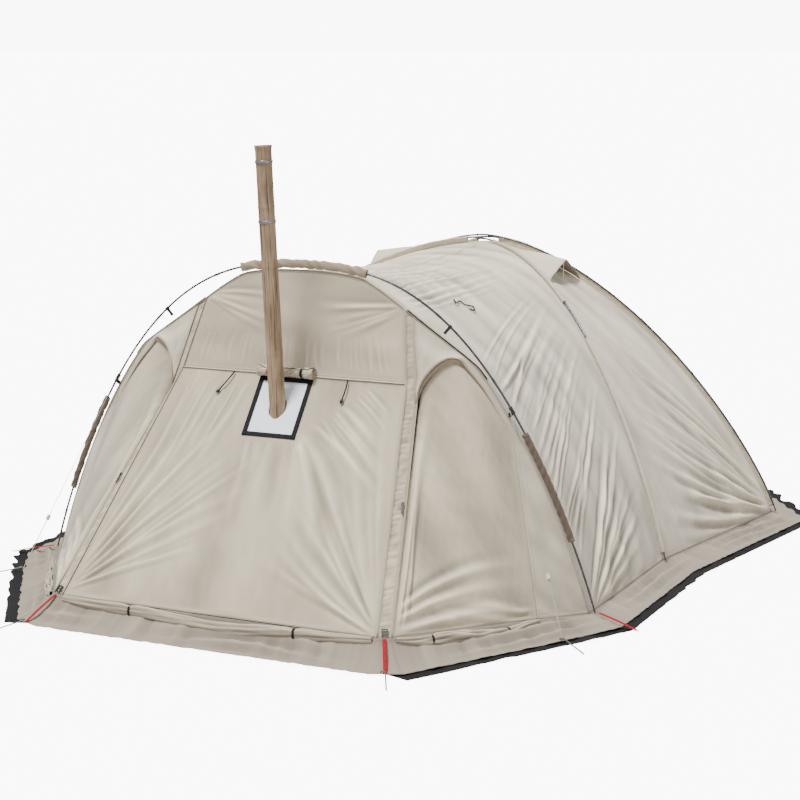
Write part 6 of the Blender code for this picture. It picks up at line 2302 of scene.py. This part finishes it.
@dataclass
class Hardware:
    """Straps, buckles, clips, zip sliders, pegs and toggles."""

    toggle_radius: float = 0.0065
    toggle_length: float = 0.026
    tie_radius: float = 0.0034
    roof_cord: tuple = (
        (0.506, -1.694, 1.403), (0.535, -1.728, 1.390), (0.521, -1.650, 1.390), (0.546, -1.650, 1.375),
        (0.560, -1.620, 1.365), (0.570, -1.588, 1.356), (0.594, -1.628, 1.343), (0.584, -1.667, 1.352),
    )

    def strap(self, name: str, start: Array, end: Array, facing: Array, width: float = 0.018) -> None:
        """Make a red strap with a slight bow between two points.

        Args:
            name: The model's node that it stands for.
            start: Its first end.
            end: Its last end.
            facing: The direction that it bows towards.
            width: Its width.
        """
        share = np.linspace(0.0, 1.0, 40)
        path = start + (end - start) * share[:, None] + facing * (0.003 * np.sin(math.pi * share))[:, None]
        item = swept(name + "_web", path + facing * 0.0013, facing, slab(width, 0.0022))
        DRESS.dress(item, RED_WEB, nodes=(name,))

    def build_corner(self, name: str, side: float) -> None:
        """Make a front corner's strap, and finish its buckle and peg.

        Args:
            name: The side's name.
            side: 1 on the right, -1 on the left.
        """
        corner, foot = LINES.corner_points(side)[0], LINES.strip_points(side)[0]
        middle = (corner + foot) / 2.0
        rim = mirrored((LINES.skirt_rim[0] + LINES.skirt_rim[1]) / 2.0, side)
        facing = turned(unit(np.cross(foot - corner, rim - middle)), UP)
        start = middle + (rim - middle) * 0.06 + facing * 0.005
        self.strap("corner_strap_" + name, start, rim + facing * 0.005, facing)
        DRESS.node(BLACK_PLASTIC, "corner_buckle_" + name)
        DRESS.node(STEEL, "corner_peg_" + name)
        DRESS.node(BLACK_PLASTIC, "zip_slider_" + name, "hoop_clip_" + name)

    def build_foot_strap(self, name: str, side: float) -> None:
        """Make a hoop foot's strap.

        Args:
            name: The side's name.
            side: 1 on the right, -1 on the left.
        """
        foot, rim = mirrored(LINES.hoop_half[-1], side), mirrored(LINES.skirt_rim[3], side)
        out = unit((rim - foot) * (1.0 - UP))
        end = foot + out * 0.25
        end[2] = LINES.skirt_foot + 0.005
        start = foot + X_AXIS * (side * 0.011) + out * 0.011
        facing = turned(unit(np.cross((-out[1], out[0], 0.0), end - start)), UP)
        self.strap("hoop_foot_strap_" + name, start, end, facing)

    def tie(self, name: str, path: Array, outward: Array, knot: bool = True) -> None:
        """Make a short black cord that lies on the cloth, with a toggle on its end.

        Args:
            name: The piece's name.
            path: Points that it passes through.
            outward: The direction away from the cloth.
            knot: Whether it has a toggle.
        """
        path = smooth_path(path, 40)
        DRESS.dress(swept(name, path, outward, circle(self.tie_radius, 12)), BLACK_WEB)
        if knot:
            share = np.linspace(-0.5, 0.5, 25)
            run = unit(path[-1] - path[-4])
            bar = path[-1] + run * (share * self.toggle_length)[:, None]
            scale = 0.75 + 0.25 * np.abs(np.cos(share * math.pi)) + 0.4 * np.exp(-((share / 0.2) ** 2))
            DRESS.dress(swept(name + "_toggle", bar, outward, circle(self.toggle_radius, 14), scale), BLACK_PLASTIC)

    def build_ties(self) -> None:
        """Hang the ties under the front seam and lay the loose cord on the roof."""
        seam = LINES.corner_points(1.0)[1]
        _, upward, outward = Vestibule().jack_axes()
        for index, (x, slant) in enumerate(((-0.31, -0.055), (0.31, 0.0))):
            start = np.array((x, seam[1], seam[2])) - upward * 0.012 + outward * 0.010
            end = start - upward * 0.115 + X_AXIS * slant
            middle = (start + end) / 2.0 + X_AXIS * 0.006 + outward * 0.006
            self.tie(f"seam_tie_{index}", line(start, middle, end), outward)
        for name, side in SIDES.items():
            path = mirrored(self.roof_cord, side) + UP * 0.012
            self.tie("roof_cord_" + name, path, unit((side * 0.5, 0.0, 0.86)), knot=False)

    def build_clip(self, name: str, side: float) -> None:
        """Make the black clip and strap that hold the fly to the hoop where a guy line starts.

        Args:
            name: The side's name.
            side: 1 on the right, -1 on the left.
        """
        run = int(GuyLines.clip_share * (LINES.pole_points - 1))
        pole = mirrored(LINES.hoop_half[run:run + 2], side)
        centre, ahead = pole.mean(axis=0), unit(pole[1] - pole[0])
        path = centre + ahead * np.linspace(-0.020, 0.020, 9)[:, None]
        DRESS.dress(swept("guy_clip_" + name, path, -Y_AXIS, circle(0.0095, 20)), BLACK_PLASTIC)
        edge = mirrored(LINES.fly_edge, side)
        near = edge[np.linalg.norm(edge - centre, axis=1).argmin()]
        share = np.linspace(0.0, 1.0, 12)[:, None]
        band = centre + (near - centre) * share - Y_AXIS * 0.004
        band = band + ahead * (0.010 * np.sin(math.pi * share))
        DRESS.dress(swept("guy_clip_strap_" + name, band, -Y_AXIS, slab(0.020, 0.003)), BLACK_WEB)

    def build(self) -> None:
        """Make all small parts."""
        on_both_sides(self.build_corner, self.build_foot_strap)
        self.build_ties()
        on_both_sides(self.build_clip)


def main() -> None:
    """Build every sub-assembly in order."""
    logging.basicConfig(level=logging.INFO, format="%(name)s: %(message)s")
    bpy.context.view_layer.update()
    Studio().build()
    GuyLines().build()
    vestibule = Vestibule()
    vestibule.build()
    FlyRoof().build()
    Skirts().build()
    Poles().build()
    StovePipe(vestibule).build()
    Hardware().build()
    LOG.info("%d pieces", len(DRESS.made))


if __name__ == "__main__":
    main()
